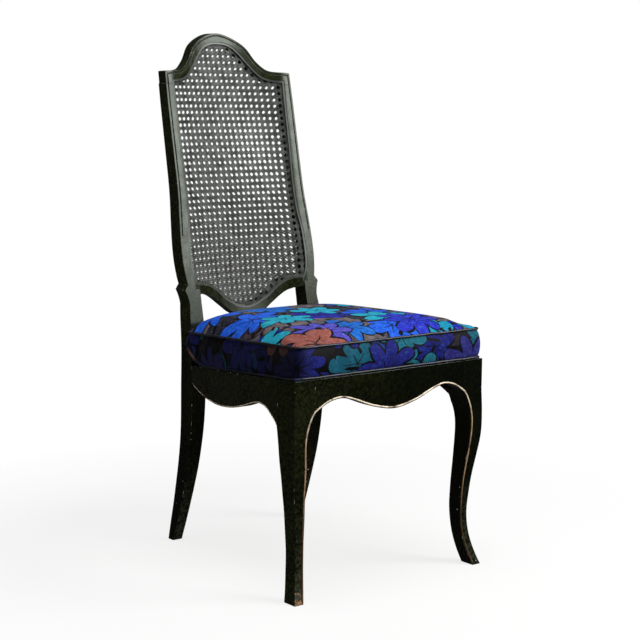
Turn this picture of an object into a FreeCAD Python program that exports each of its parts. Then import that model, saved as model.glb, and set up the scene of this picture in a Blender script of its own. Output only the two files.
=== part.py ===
import FreeCAD, Part
import math
import os

# Cane chair with a curved, double-caned back, cabriole front legs, shaped seat rails and a box cushion.
# Millimetres. +X is the sitter's left seen from the front, +Y runs to the back, +Z is up.
# While it is modelled, y = 0 is the front face of the front legs. At the end the chair is moved so
# that its origin is the middle of its box at floor level.

V = FreeCAD.Vector

# Seat
seat_height = 430.0
seat_fall = 37.0
seat_depth = 442.0
front_half_width = 240.0
rear_half_width = 175.5

# Back
crest_height = 1087.5
crest_corner_height = 1003.5
crest_corner_half_width = 163.5
crest_joint_height = 978.0
back_base_height = 480.0
back_base_setback = 6.5
back_rake = math.radians(11.83)
back_sag = 32.0
sag_half_width = 165.0
back_reach = 205.0
back_rail_thickness = 27.0

# Back posts, from the foot up
post_foot_outer = 175.0
post_foot_inner = 152.5
post_inner = 139.0
post_depth = 39.0
stile_base_depth = 39.0
stile_top_depth = 29.0
post_kick = 71.5
waist_height = 519.0
waist_half_width = 168.5
ear_height = 549.0
ear_half_width = 176.0
notch_height = 560.0
notch_half_width = 167.6
hip_height = 620.0
hip_half_width = 173.8

# Cane opening
opening_top_height = 1068.3
opening_shoulder_height = 986.3
opening_half_width = 148.0
opening_corner_height = 558.2
opening_bottom_height = 498.0
rail_end_bottom_height = 539.0
rail_bottom_height = 479.0

# Bead round the outer edge of the crest and the stiles, set off by a groove
bead_width = 4.0
groove_width = 2.5
groove_depth = 2.0

# Cane and its seat in the frame
rebate_width = 8.0
rebate_depth = 6.0
cane_thickness = 1.5
cane_clearance = 0.1
cane_edge_gap = 0.5
cane_flatness = 0.7
cane_surface_share = 0.985
spline_width = 4.0
spline_height = 3.2
spline_gap = 0.15
mesh_pitch = 37.0
mesh_bar = 12.0
mesh_margin = 5.0

# Front legs
leg_block_width = 48.0
leg_block_depth = 54.0
leg_block_height = 66.0

# Seat rails
rail_thickness = 24.0
front_rail_bow = 6.0
side_rail_bow = 2.5
front_apron_peak_drop = 42.0
front_apron_depth = 75.5
side_apron_depth = 72.0
rear_rail_height = 55.0
rear_rail_setback = 8.0

# Tenons
tenon_thickness = 10.0
tenon_setback = 7.0
rail_tenon_length = 23.0
rail_tenon_height = 34.0
rail_tenon_drop = 16.0
rear_tenon_drop = 22.0
rear_tenon_height = 24.0
rear_rail_tenon_length = 17.0
back_tenon_length = 16.0
back_tenon_height = 10.0
stile_tenon_width = 11.0
stile_tenon_height = 17.0

# Seat board and corner blocks
board_thickness = 12.0
board_margin = 12.0
board_clearance = 0.3
board_rear_overlap = 16.0
block_thickness = 28.0
front_block_reach = 110.0
rear_block_reach = 90.0
block_side_share = 0.65

# Screws
screw_radius = 2.0
screw_head_radius = 4.0
screw_head_height = 3.0
block_screw_length = 30.0
block_screw_bite = 14.0
seat_screw_length = 36.0
seat_screw_setback = 12.0

# Cushion
cushion_bottom_front_half_width = 236.0
cushion_bottom_rear_half_width = 177.0
cushion_top_front_half_width = 230.0
cushion_top_rear_half_width = 188.0
cushion_front_gap = 1.0
cushion_rear_gap = 7.0
cushion_radius = 22.0
cushion_border = 62.0
cushion_crown = 49.0
cushion_bulge = 6.0
cushion_top_slope_share = 0.72
welt_radius = 3.5
welt_clearance = 0.3

# One overrun for every cutting solid
overrun = 60.0

seat_slope = seat_fall / seat_depth
rake = math.tan(back_rake)
post_rear_seat = seat_depth + post_depth
rear_limit = post_rear_seat + post_kick + crest_height * rake + overrun

# Outlines as shares of the sizes that they follow
# Crest, from its corner to its middle: share of the half width, share of the rise
crest_top_shares = [(1.0, 0.0), (0.77, 0.03), (0.67, 0.08), (0.60, 0.185), (0.54, 0.305),
                    (0.48, 0.48), (0.42, 0.64), (0.345, 0.76), (0.234, 0.88), (0.12, 0.965), (0.0, 1.0)]
# Top of the cane opening, from its corner to its middle
opening_top_shares = [(1.0, 0.0), (0.82, 0.027), (0.68, 0.11), (0.59, 0.245), (0.497, 0.435),
                      (0.42, 0.605), (0.33, 0.785), (0.22, 0.93), (0.115, 0.985), (0.0, 1.0)]
# Side of the cane opening from its lower to its upper corner: share of the half width, share of the height
opening_side_shares = [(0.94, 0.0), (0.973, 0.009), (1.017, 0.04), (1.04, 0.086), (1.04, 0.168),
                       (1.027, 0.25), (0.99, 0.33), (0.972, 0.425), (0.971, 0.54), (0.983, 0.68),
                       (0.987, 0.85), (1.0, 1.0)]
# Bottom of the cane opening, from its corner to its middle: share of the half width, share of the drop
opening_bottom_shares = [(1.0, 0.0), (0.86, 0.03), (0.76, 0.087), (0.70, 0.145), (0.63, 0.245), (0.52, 0.43),
                         (0.45, 0.575), (0.345, 0.725), (0.215, 0.89), (0.07, 0.985), (0.0, 1.0)]
# Lower edge of the lower back rail, from its end to its middle
rail_bottom_shares = [(1.0, 0.0), (0.88, 0.03), (0.78, 0.09), (0.72, 0.135), (0.65, 0.22), (0.56, 0.36),
                      (0.46, 0.53), (0.39, 0.65), (0.29, 0.82), (0.14, 0.95), (0.0, 1.0)]
# Plan of the back: share of the half width, share of the sag
back_plan_shares = [(1.0, 0.0), (0.85, 0.06), (0.70, 0.33), (0.50, 0.65), (0.25, 0.91), (0.0, 1.0)]
# Rear leg below the seat: share of the seat height, share of the kick, share of the post's depth
rear_leg_shares = [(0.0, 1.0, 0.47), (0.1, 0.78, 0.64), (0.2, 0.575, 0.745), (0.3, 0.385, 0.85),
                   (0.4, 0.215, 0.925), (0.5, 0.09, 0.97), (0.6, 0.0, 1.03), (0.8, -0.04, 1.07),
                   (1.0, 0.0, 1.0)]
# Stile above its hip: share of the rise to the crest corner, share of the way in from hip to corner
stile_outer_shares = [(0.09, 0.09), (0.21, 0.41), (0.31, 0.69), (0.47, 0.825), (0.73, 0.835), (1.0, 1.0)]
# Front leg seen from the front: share of the height under its block, then where its outer and inner
# edges are, as shares of the block's width from the block's outer face
leg_front_shares = [(0.0, -0.03, 0.40), (0.08, 0.146, 0.573), (0.165, 0.28, 0.69), (0.25, 0.36, 0.75),
                    (0.33, 0.36, 0.768), (0.41, 0.304, 0.769), (0.495, 0.235, 0.744), (0.577, 0.146, 0.698),
                    (0.66, 0.065, 0.66), (0.74, -0.02, 0.617), (0.825, -0.05, 0.588), (0.90, -0.045, 0.66)]
leg_front_shoulder_shares = [(0.95, 0.79), (1.0, 0.99)]
# Front leg seen from the side, from its front face, as shares of the block's depth
leg_side_shares = [(0.0, -0.12, 0.50), (0.08, 0.09, 0.66), (0.165, 0.244, 0.80), (0.25, 0.31, 0.885),
                   (0.33, 0.32, 0.925), (0.41, 0.29, 0.907), (0.495, 0.244, 0.885), (0.577, 0.17, 0.865),
                   (0.66, 0.075, 0.848), (0.74, 0.01, 0.845), (0.825, -0.012, 0.88)]
leg_side_shoulder_shares = [(0.88, 0.935), (0.92, 0.99)]
# Front apron from its end to its middle: share of the half length, share of the way from peak to drop
front_apron_shares = [(1.0, 0.70), (0.93, 0.44), (0.85, 0.19), (0.77, 0.05), (0.68, 0.0), (0.60, 0.08),
                      (0.51, 0.24), (0.42, 0.44), (0.31, 0.67), (0.18, 0.86), (0.0, 1.0)]
# Side apron from the leg to the post: share of the clear length, share of the depth below the rail's top
side_apron_shares = [(0.0, 1.27), (0.035, 1.08), (0.066, 0.96), (0.108, 0.815), (0.15, 0.735),
                     (0.193, 0.703), (0.235, 0.72), (0.345, 0.85), (0.459, 0.96), (0.549, 1.0),
                     (0.678, 0.985), (0.796, 0.885), (0.907, 0.72), (1.0, 0.50)]
# Crown of the cushion from its middle to its edge: share of the way out, share of the crown's height
crown_shares = [(0.0, 1.0), (0.35, 0.965), (0.6, 0.85), (0.8, 0.625), (0.93, 0.33), (1.0, 0.0)]


def smooth(points):
    """One smooth edge through the points."""
    line = Part.BSplineCurve()
    line.interpolate(points)
    return line.toShape()


def straight(start, end):
    return Part.makeLine(start, end)


def mirrored(shape):
    return shape.mirror(V(0, 0, 0), V(1, 0, 0))


def whole(half):
    """Points from a corner to the middle become points from corner to corner, left to right."""
    left = [(-x, z) for x, z in half]
    right = [(x, z) for x, z in reversed(half[:-1])]
    return left + right


def front_face_y(z):
    """Where the stiles' front face is at a height."""
    return seat_depth + back_base_setback + (z - back_base_height) * rake


def seat_top(y):
    """Height of the seat rails' top at a distance from the front."""
    return seat_height - seat_slope * y


def extruded(edges, direction):
    face = Part.Face(Part.Wire(edges))
    return face.extrude(direction)


def seen_from_front(edges):
    """Solid of an outline drawn on y = 0, long enough to cut the whole depth."""
    face = Part.Face(Part.Wire(edges))
    face.translate(V(0, -overrun, 0))
    return face.extrude(V(0, rear_limit + overrun, 0))


def on_front(points):
    return [V(x, 0, z) for x, z in points]


def box_between(x0, x1, y0, y1, z0, z1):
    return Part.makeBox(x1 - x0, y1 - y0, z1 - z0, V(x0, y0, z0))


def moved_inwards(points, distance):
    """A closed anticlockwise outline moved to its inside, each corner along its mitre."""
    moved = []
    for index, (x, z) in enumerate(points):
        before = points[index - 1]
        after = points[(index + 1) % len(points)]
        first = V(before[1] - z, 0, x - before[0]).normalize()
        second = V(z - after[1], 0, after[0] - x).normalize()
        mitre = (first + second) * (distance / (1.0 + first.dot(second)))
        moved.append((x + mitre.x, z + mitre.z))
    return moved


def opening_runs():
    """The cane opening as bottom, right, top and left runs of points."""
    corner = opening_half_width * opening_side_shares[0][0]
    drop = opening_corner_height - opening_bottom_height
    bottom = whole([(corner * across, opening_corner_height - drop * down)
                    for across, down in opening_bottom_shares])
    side_height = opening_shoulder_height - opening_corner_height
    right = [(opening_half_width * across, opening_corner_height + side_height * up)
             for across, up in opening_side_shares]
    rise = opening_top_height - opening_shoulder_height
    top = whole([(opening_half_width * across, opening_shoulder_height + rise * up)
                 for across, up in opening_top_shares])
    top.reverse()
    left = [(-x, z) for x, z in reversed(right)]
    return [bottom, right, top, left]


def opening_edges(distance):
    """Edges of the opening's outline, moved inwards by a distance."""
    runs = opening_runs()
    outline = [point for run in runs for point in run[:-1]]
    outline = moved_inwards(outline, distance)
    outline.append(outline[0])
    edges = []
    start = 0
    for run in runs:
        end = start + len(run) - 1
        edges.append(smooth(on_front(outline[start:end + 1])))
        start = end
    return edges


def opening_points(distance):
    runs = opening_runs()
    return moved_inwards([point for run in runs for point in run[:-1]], distance)


def back_plan_points():
    half = [(sag_half_width * across, back_sag * deep) for across, deep in back_plan_shares]
    return whole(half)


def back_slab(front_offset, rear_offset, bottom, top):
    """The curved, raked slab behind the front face of the back, between two offsets."""
    base_y = front_face_y(bottom)

    def plan_edges(offset):
        points = [V(x, base_y + offset + deep, bottom) for x, deep in back_plan_points()]
        curve = smooth(points)
        outer_left = V(-back_reach, base_y + offset, bottom)
        outer_right = V(back_reach, base_y + offset, bottom)
        return [straight(outer_left, points[0]), curve, straight(points[-1], outer_right)]

    front = plan_edges(front_offset)
    rear = plan_edges(rear_offset)
    ends = []
    for side in (-1, 1):
        near = V(side * back_reach, base_y + front_offset, bottom)
        far = V(side * back_reach, base_y + rear_offset, bottom)
        ends.append(straight(near, far))
    wire = Part.Wire(Part.__sortEdges__(front + rear + ends))
    height = top - bottom
    return Part.Face(wire).extrude(V(0, height * rake, height))


def stile_outer_points():
    """Outer edge of the stile from its notch to the crest corner."""
    rise = crest_corner_height - hip_height
    inward = hip_half_width - crest_corner_half_width
    points = [(notch_half_width, notch_height),
              ((notch_half_width + 3 * hip_half_width) / 4, (notch_height + hip_height) / 2),
              (hip_half_width, hip_height)]
    for up, across in stile_outer_shares:
        points.append((hip_half_width - inward * across, hip_height + rise * up))
    return points


def crest_points():
    """Top edge of the crest from corner to corner."""
    rise = crest_height - crest_corner_height
    return whole([(crest_corner_half_width * across, crest_corner_height + rise * up)
                  for across, up in crest_top_shares])


def back_elevation():
    """The whole back frame and rear legs seen from the front, without the opening."""
    seat_rear = seat_height - seat_fall
    lower_outer = [(post_foot_outer, 0),
                   ((post_foot_outer + 2 * rear_half_width) / 3, seat_rear / 2),
                   (rear_half_width, seat_rear),
                   ((rear_half_width + waist_half_width) / 2, (seat_rear + 3 * waist_height) / 4),
                   (waist_half_width, waist_height)]
    ear = [(waist_half_width, waist_height),
           ((2 * waist_half_width + ear_half_width) / 3, (waist_height + ear_height) / 2),
           (ear_half_width, ear_height)]
    stile = stile_outer_points()
    inner = [(post_inner, rail_end_bottom_height), (post_inner, seat_rear),
             ((post_inner + post_foot_inner) / 2, seat_rear / 2), (post_foot_inner, 0)]
    crest = crest_points()
    drop = rail_end_bottom_height - rail_bottom_height
    rail = whole([(post_inner * across, rail_end_bottom_height - drop * down)
                  for across, down in rail_bottom_shares])
    edges = [smooth(on_front(crest)), smooth(on_front(rail))]
    for side in (-1, 1):
        def at(points):
            return on_front([(side * x, z) for x, z in points])
        edges.append(smooth(at(lower_outer)))
        edges.append(smooth(at(ear)))
        edges.append(straight(at(ear)[-1], at(stile)[0]))
        edges.append(smooth(at(stile)))
        edges.append(straight(at(inner)[0], at(inner)[1]))
        edges.append(smooth(at(inner[1:])))
        edges.append(straight(at(inner)[-1], at(lower_outer)[0]))
    return seen_from_front(Part.__sortEdges__(edges))


def post_side_profile():
    """The back post seen from the side: rear leg that kicks back, and a raked, tapering stile."""
    front = [V(0, seat_depth + post_kick * back, seat_height * up) for up, back, deep in rear_leg_shares]
    rear = [V(0, seat_depth + post_kick * back + post_depth * deep, seat_height * up)
            for up, back, deep in rear_leg_shares]
    base_front = V(0, front_face_y(back_base_height), back_base_height)
    base_rear = base_front + V(0, stile_base_depth, 0)
    top_front = V(0, front_face_y(crest_corner_height), crest_corner_height)
    top_rear = top_front + V(0, stile_top_depth, 0)
    edges = [smooth(front + [base_front]), straight(base_front, top_front), straight(top_front, top_rear),
             straight(top_rear, base_rear), smooth(rear + [base_rear]), straight(rear[0], front[0])]
    return extruded(Part.__sortEdges__(edges), V(rear_half_width + overrun, 0, 0))


def rebates():
    """What the two cane seats take out of the back frame."""
    seen = seen_from_front(opening_edges(0.0))
    bottom = opening_bottom_height - rebate_width
    top = crest_height + overrun
    front = seen.common(back_slab(-overrun, rebate_depth, bottom, top))
    behind = back_slab(back_rail_thickness - rebate_depth, back_rail_thickness + overrun, bottom, top)
    rear = seen.common(behind)
    return front, rear


def edge_groove():
    """Groove that sets off the bead round the outer edge of the crest and the upper stiles."""
    above_hip = stile_outer_points()[-len(stile_outer_shares):]
    crest = list(reversed(crest_points()))
    runs = [above_hip, crest, [(-x, z) for x, z in reversed(above_hip)]]

    def prism(distance):
        outline = [point for run in runs for point in run[:-1]] + [runs[-1][-1]]
        outline = moved_inwards(outline, distance)
        edges = []
        start = 0
        for run in runs:
            end = start + len(run) - 1
            edges.append(smooth(on_front(outline[start:end + 1])))
            start = end
        ends = on_front([outline[-1], outline[0]])
        edges.append(straight(*ends))
        return seen_from_front(Part.__sortEdges__(edges))

    ring = prism(bead_width).cut(prism(bead_width + groove_width))
    foot = above_hip[0][1] + bead_width + groove_width
    return ring.common(back_slab(-overrun, groove_depth, foot, crest_height + overrun))


def stile_tenon():
    """Tenon on top of the left stile, raked as the stile is."""
    y = front_face_y(crest_joint_height) + tenon_setback
    x1 = crest_corner_half_width - tenon_setback
    base = Part.makePlane(stile_tenon_width, tenon_thickness, V(x1 - stile_tenon_width, y, crest_joint_height))
    return base.extrude(V(0, stile_tenon_height * rake, stile_tenon_height))


def back_rail_tenon():
    """Tenon on the left end of the lower back rail."""
    middle = (rail_end_bottom_height + opening_corner_height) / 2
    y = front_face_y(middle) + tenon_setback
    return box_between(post_inner, post_inner + back_tenon_length, y, y + tenon_thickness,
                       middle - back_tenon_height / 2, middle + back_tenon_height / 2)


def rear_rail_tenon():
    y = seat_depth + rear_rail_setback + tenon_setback
    top = seat_top(seat_depth) - board_thickness - rear_tenon_drop / 2
    return box_between(post_inner, post_inner + rear_rail_tenon_length, y, y + tenon_thickness,
                       top - rail_tenon_height, top)


def side_rail_line():
    """Outer line of the left side rail in plan: its front end, middle and rear end."""
    front = V(front_half_width, leg_block_depth, 0)
    rear = V(rear_half_width, seat_depth, 0)
    middle = (front + rear) * 0.5 + V(side_rail_bow, 0, 0)
    return front, middle, rear


def side_rail_tenons():
    front, middle, rear = side_rail_line()
    top = seat_top(leg_block_depth) - rail_tenon_drop
    outer = front.x - tenon_setback
    front_tenon = box_between(outer - tenon_thickness, outer, leg_block_depth - rail_tenon_length,
                              leg_block_depth, top - rail_tenon_height, top)
    rear_top = seat_top(seat_depth) - rail_tenon_drop
    rear_outer = rear.x - tenon_setback
    rear_tenon = box_between(rear_outer - tenon_thickness, rear_outer, seat_depth - tenon_setback,
                             seat_depth + rail_tenon_length, rear_top - rear_tenon_height, rear_top)
    return front_tenon, rear_tenon


def front_rail_tenon():
    inner = front_half_width - leg_block_width
    top = seat_height - rail_tenon_drop
    return box_between(inner, inner + rail_tenon_length, tenon_setback, tenon_setback + tenon_thickness,
                       top - rail_tenon_height, top)


def seat_layer(upper, lower):
    """The sloping layer between two depths below the top of the seat rails."""
    start = -overrun
    end = seat_depth + overrun
    corners = [V(0, start, seat_top(start) - upper), V(0, end, seat_top(end) - upper),
               V(0, end, seat_top(end) - lower), V(0, start, seat_top(start) - lower)]
    face = Part.Face(Part.makePolygon(corners + corners[:1]))
    face.translate(V(-front_half_width - overrun, 0, 0))
    return face.extrude(V(2 * (front_half_width + overrun), 0, 0))


def plan_prism(corners, top):
    """Upright solid over a closed plan outline of straight sides."""
    points = [V(x, y, 0) for x, y in corners]
    return Part.Face(Part.makePolygon(points + points[:1])).extrude(V(0, 0, top))


def board_plan(clearance):
    edge = board_margin - clearance
    rear_x = rear_half_width - edge
    notch = post_inner - board_clearance + clearance
    rear = seat_depth - board_clearance + clearance
    back = seat_depth + rear_rail_setback + board_rear_overlap
    right = [(front_half_width - edge, edge), (front_half_width - edge, leg_block_depth), (rear_x, rear),
             (notch, rear), (notch, back)]
    left = [(-x, y) for x, y in reversed(right)]
    return plan_prism(right + left, seat_height + overrun)


def seat_board():
    return board_plan(0.0).common(seat_layer(0.0, board_thickness))


def board_space():
    """The rebate that the seat board drops into."""
    return board_plan(board_clearance).common(seat_layer(-overrun, board_thickness))


def back_post(blank, front_rebate, rear_rebate):
    """Left back post, rear leg and stile in one piece."""
    limit = back_reach + overrun
    post = blank.common(box_between(0, limit, 0, rear_limit, 0, crest_joint_height))
    hip = (notch_height + hip_height) / 2
    post = post.cut(box_between(-overrun, post_inner, 0, rear_limit, waist_height / 2, hip))
    post = post.common(post_side_profile())
    post = post.cut(back_slab(-overrun, 0, ear_height, crest_height))
    post = post.cut(front_rebate).cut(rear_rebate)
    post = post.cut(back_rail_tenon()).cut(rear_rail_tenon()).cut(side_rail_tenons()[1])
    return post.fuse(stile_tenon()).removeSplitter()


def crest_rail(blank, front_rebate, rear_rebate):
    limit = back_reach + overrun
    top = crest_height + overrun
    crest = blank.common(box_between(-limit, limit, 0, rear_limit, crest_joint_height, top))
    crest = crest.common(back_slab(0, back_rail_thickness, crest_joint_height - overrun, top))
    crest = crest.cut(front_rebate).cut(rear_rebate)
    for tenon in (stile_tenon(), mirrored(stile_tenon())):
        crest = crest.cut(tenon)
    return crest


def lower_back_rail(blank, front_rebate, rear_rebate):
    hip = (notch_height + hip_height) / 2
    rail = blank.common(box_between(-post_inner, post_inner, 0, rear_limit, seat_height, hip))
    rail = rail.common(back_slab(0, back_rail_thickness, seat_height, hip))
    rail = rail.cut(front_rebate).cut(rear_rebate)
    return rail.fuse([back_rail_tenon(), mirrored(back_rail_tenon())]).removeSplitter()


def height_along(run, x):
    """Height of a left to right run of outline points at a place across."""
    x = min(max(x, run[0][0]), run[-1][0])
    for (x0, z0), (x1, z1) in zip(run, run[1:]):
        if x <= x1:
            return z0 + (z1 - z0) * (x - x0) / (x1 - x0)
    return run[-1][1]


def cane_surface_points(offset):
    """Rows of points on the tensioned cane: it follows the rails at its edges and is flatter between them."""
    bottom_run, right_run, top_run, left_run = opening_runs()
    top_run = list(reversed(top_run))
    border = opening_half_width - rebate_width
    plan = Part.BSplineCurve()
    plan.interpolate([V(x, deep, 0) for x, deep in back_plan_points()])

    def sag_at(x):
        line = Part.Line(V(x, -overrun, 0), V(x, back_sag + overrun, 0))
        return plan.intersect(line)[0].Y

    edge = sag_at(border)
    steps = 12
    rows = []
    for row in range(-1, steps + 2):
        up = min(max(row / steps, 0.0), 1.0)
        line = []
        for column in range(-steps, steps + 1):
            x = sag_half_width * cane_surface_share * column / steps
            bottom = height_along(bottom_run, x) + rebate_width
            top = height_along(top_run, x) - rebate_width
            z = bottom + (top - bottom) * up
            if row < 0:
                z = bottom - 3 * rebate_width
            if row > steps:
                z = top + 3 * rebate_width
            deep = sag_at(x)
            inward = max(0.0, 1.0 - (x / border) ** 2)
            deep -= cane_flatness * math.sin(math.pi * up) ** 2 * (deep - edge) * inward
            line.append(V(x, front_face_y(z) + offset + deep, z))
        rows.append(line)
    return rows


def inside(outline, x, z):
    """Whether a point is inside a closed outline."""
    crossings = 0
    for index, (x1, z1) in enumerate(outline):
        x0, z0 = outline[index - 1]
        if (z0 > z) != (z1 > z) and x < x0 + (x1 - x0) * (z - z0) / (z1 - z0):
            crossings += 1
    return crossings % 2 == 1


def mesh_prism():
    """The cane sheet seen from the front: its outline with a square gap at each mesh."""
    limit = opening_points(rebate_width + mesh_margin)
    half = (mesh_pitch - mesh_bar) / 2
    wires = [Part.Wire(opening_edges(cane_edge_gap))]
    columns = int(sag_half_width / mesh_pitch)
    rows = int((opening_top_height - opening_bottom_height) / mesh_pitch) + 1
    for column in range(-columns, columns + 1):
        for row in range(rows):
            x = column * mesh_pitch
            z = opening_bottom_height + (row + 0.5) * mesh_pitch
            corners = [(x - half, z - half), (x + half, z - half), (x + half, z + half), (x - half, z + half)]
            if all(inside(limit, px, pz) for px, pz in corners):
                wires.append(Part.makePolygon(on_front(corners + corners[:1])))
    face = Part.makeFace(wires, "Part::FaceMakerBullseye")
    face.translate(V(0, seat_depth, 0))
    print("cane gaps", len(wires) - 1)
    return face.extrude(V(0, crest_height * rake, 0))


def cane_panel(prism, offset):
    surface = Part.BSplineSurface()
    surface.interpolate(cane_surface_points(offset))
    sheet = surface.toShape().extrude(V(0, cane_thickness, 0))
    return prism.common(sheet)


def cane_spline(offset):
    """The reed pressed over the edge of a cane sheet, all round the opening."""
    ring = seen_from_front(opening_edges(spline_gap)).cut(seen_from_front(opening_edges(spline_width)))
    bottom = opening_bottom_height - overrun
    return ring.common(back_slab(offset, offset + spline_height, bottom, crest_height))


def leg_profile(block, shares, shoulder_shares, place):
    """Front leg seen square on, as a face: its near and far edges, its shoulder and its block."""
    height = seat_height - leg_block_height
    top = seat_height
    near = [place(block * first, height * up) for up, first, last in shares] + [place(0, height)]
    far = [place(block * last, height * up) for up, first, last in shares]
    far += [place(block * last, height * up) for up, last in shoulder_shares]
    shoulder = place(block, height * shoulder_shares[-1][0])
    edges = [smooth(near), straight(near[-1], place(0, top)), straight(place(0, top), place(block, top)),
             straight(place(block, top), shoulder), straight(shoulder, far[-1]), smooth(far),
             straight(near[0], far[0])]
    return Part.Face(Part.Wire(Part.__sortEdges__(edges)))


def front_leg():
    """Left cabriole leg, sawn to one outline from the front and to another from the side."""
    front = leg_profile(leg_block_width, leg_front_shares, leg_front_shoulder_shares,
                        lambda distance, z: V(front_half_width - distance, -overrun, z))
    side = leg_profile(leg_block_depth, leg_side_shares, leg_side_shoulder_shares,
                       lambda distance, z: V(front_half_width + overrun, distance, z))
    across = side.extrude(V(-2 * overrun - leg_block_width, 0, 0))
    leg = front.extrude(V(0, 2 * overrun + leg_block_depth, 0)).common(across)
    front_tenon = front_rail_tenon()
    side_tenon = side_rail_tenons()[0]
    leg = leg.cut(front_tenon).cut(side_tenon).cut(board_space())
    return leg.common(seat_layer(0.0, 2 * seat_height))


def front_seat_rail():
    """Bowed front rail with its shaped apron."""
    inner = front_half_width - leg_block_width
    bowed = Part.Arc(V(-inner, 0, 0), V(0, -front_rail_bow, 0), V(inner, 0, 0)).toShape()
    hollow = Part.Arc(V(-inner, rail_thickness, 0), V(0, rail_thickness - front_rail_bow, 0),
                      V(inner, rail_thickness, 0)).toShape()
    ends = [straight(V(side * inner, 0, 0), V(side * inner, rail_thickness, 0)) for side in (-1, 1)]
    band = extruded(Part.__sortEdges__([bowed, hollow] + ends), V(0, 0, seat_height + overrun))
    peak = seat_height - front_apron_peak_drop
    fall = front_apron_depth - front_apron_peak_drop
    lower = whole([(inner * across, peak - fall * down) for across, down in front_apron_shares])
    start, end = on_front([lower[0], lower[-1]])
    high_start = V(start.x, 0, seat_height + overrun)
    high_end = V(end.x, 0, seat_height + overrun)
    edges = [smooth(on_front(lower)), straight(end, high_end), straight(high_end, high_start),
             straight(high_start, start)]
    rail = band.common(seen_from_front(Part.__sortEdges__(edges)))
    rail = rail.common(seat_layer(0.0, seat_height)).cut(board_space())
    return rail.fuse([front_rail_tenon(), mirrored(front_rail_tenon())]).removeSplitter()


def side_seat_rail(post):
    """Left side rail with its shaped apron, sloping to the back."""
    front, middle, rear = side_rail_line()
    inward = V(-rail_thickness, 0, 0)
    into_post = V(0, post_depth / 2, 0)
    outer_curve = Part.Arc(front, middle, rear).toShape()
    inner_curve = Part.Arc(front + inward, middle + inward, rear + inward).toShape()
    edges = [outer_curve, inner_curve, straight(front, front + inward), straight(rear, rear + into_post),
             straight(rear + inward, rear + inward + into_post),
             straight(rear + into_post, rear + inward + into_post)]
    band = extruded(Part.__sortEdges__(edges), V(0, 0, seat_height + overrun))
    length = seat_depth - leg_block_depth
    lower = []
    for along, down in side_apron_shares:
        y = leg_block_depth + length * along
        lower.append(V(0, y, seat_top(y) - side_apron_depth * down))
    far = lower[-1] + V(0, post_depth, 0)
    high = seat_height + overrun
    edges = [smooth(lower), straight(lower[-1], far), straight(far, V(0, far.y, high)),
             straight(V(0, far.y, high), V(0, leg_block_depth, high)),
             straight(V(0, leg_block_depth, high), lower[0])]
    apron = extruded(Part.__sortEdges__(edges), V(front_half_width + overrun, 0, 0))
    rail = band.common(apron).common(seat_layer(0.0, seat_height)).cut(board_space())
    rail = rail.cut(post)
    front_tenon, rear_tenon = side_rail_tenons()
    rear_box = box_between(0, front_half_width, 0, seat_depth + post_depth / 4, 0, seat_height)
    rail = rail.common(rear_box)
    rail = max(rail.Solids, key=lambda solid: solid.Volume)
    return rail.fuse([front_tenon, rear_tenon]).removeSplitter()


def rear_seat_rail():
    y = seat_depth + rear_rail_setback
    top = seat_top(y + rail_thickness) - board_thickness
    rail = box_between(-post_inner, post_inner, y, y + rail_thickness, top - rear_rail_height,
                       top + rail_thickness)
    rail = rail.common(seat_layer(board_thickness, seat_height))
    return rail.fuse([rear_rail_tenon(), mirrored(rear_rail_tenon())]).removeSplitter()


def screw(length):
    """Wood screw along +Z, its head's flat face at z = 0."""
    head = Part.makeCone(screw_head_radius, screw_radius, screw_head_height)
    return head.fuse(Part.makeCylinder(screw_radius, length)).removeSplitter()


def placed(shape, direction, point):
    """A shape made along +Z, turned to a direction and set at a point."""
    copy = shape.copy()
    copy.Placement = FreeCAD.Placement(point, FreeCAD.Rotation(V(0, 0, 1), direction))
    return copy


def front_block_corners():
    mid_x = front_half_width - leg_block_width - front_block_reach / 2
    edge = rail_thickness / 2
    outer = front_half_width - rail_thickness
    return [(mid_x, edge), (outer, edge), (outer, leg_block_depth + front_block_reach * block_side_share)]


def rear_block_corners():
    inner_x = post_inner - rear_block_reach / 2
    rear_y = seat_depth + rear_rail_setback + rail_thickness / 2
    outer = rear_half_width - tenon_setback / 2
    return [(inner_x, rear_y), (outer, rear_y), (outer, seat_depth - rear_block_reach)]


def corner_block(corners, neighbours):
    layer = seat_layer(board_thickness, board_thickness + block_thickness)
    block = plan_prism(corners, seat_height).common(layer)
    for neighbour in neighbours:
        block = block.cut(neighbour)
    return max(block.Solids, key=lambda solid: solid.Volume)


def block_middle(corners):
    """Middle of the block's long free face in plan."""
    first = corners[0]
    last = corners[-1]
    return (first[0] + last[0]) / 2, (first[1] + last[1]) / 2


def screws_for(corners, towards_y, rail_face):
    """Seat screw and two rail screws of a block on the left, with their heads in its free face."""
    x, y = block_middle(corners)
    depth = board_thickness + block_thickness
    level = board_thickness + block_thickness / 2
    run_x = corners[-1][0] - corners[0][0]
    run_y = corners[-1][1] - corners[0][1]
    into_corner = V(abs(run_y), towards_y * abs(run_x), 0).normalize() * seat_screw_setback
    seat_point = V(x, y, 0) + into_corner
    seat_point.z = seat_top(seat_point.y) - depth
    up = placed(screw(seat_screw_length), V(0, 0, 1), seat_point)
    reach = block_screw_length - block_screw_bite
    along_y = (rail_face - towards_y * reach - corners[0][1]) / run_y
    line = side_rail_line()
    front = line[0]
    rear = line[-1]
    splay = (front.x - rear.x) / (rear.y - front.y)
    face_x = front.x - rail_thickness - splay * (corners[0][1] - front.y)
    along_x = (face_x - reach - corners[0][0]) / (run_x + splay * run_y)
    rail_screws = []
    for share, direction in ((along_y, V(0, towards_y, 0)), (along_x, V(1, 0, 0))):
        px = corners[0][0] + run_x * share
        py = corners[0][1] + run_y * share
        rail_screws.append(placed(screw(block_screw_length), direction, V(px, py, seat_top(py) - level)))
    return up, rail_screws


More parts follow.
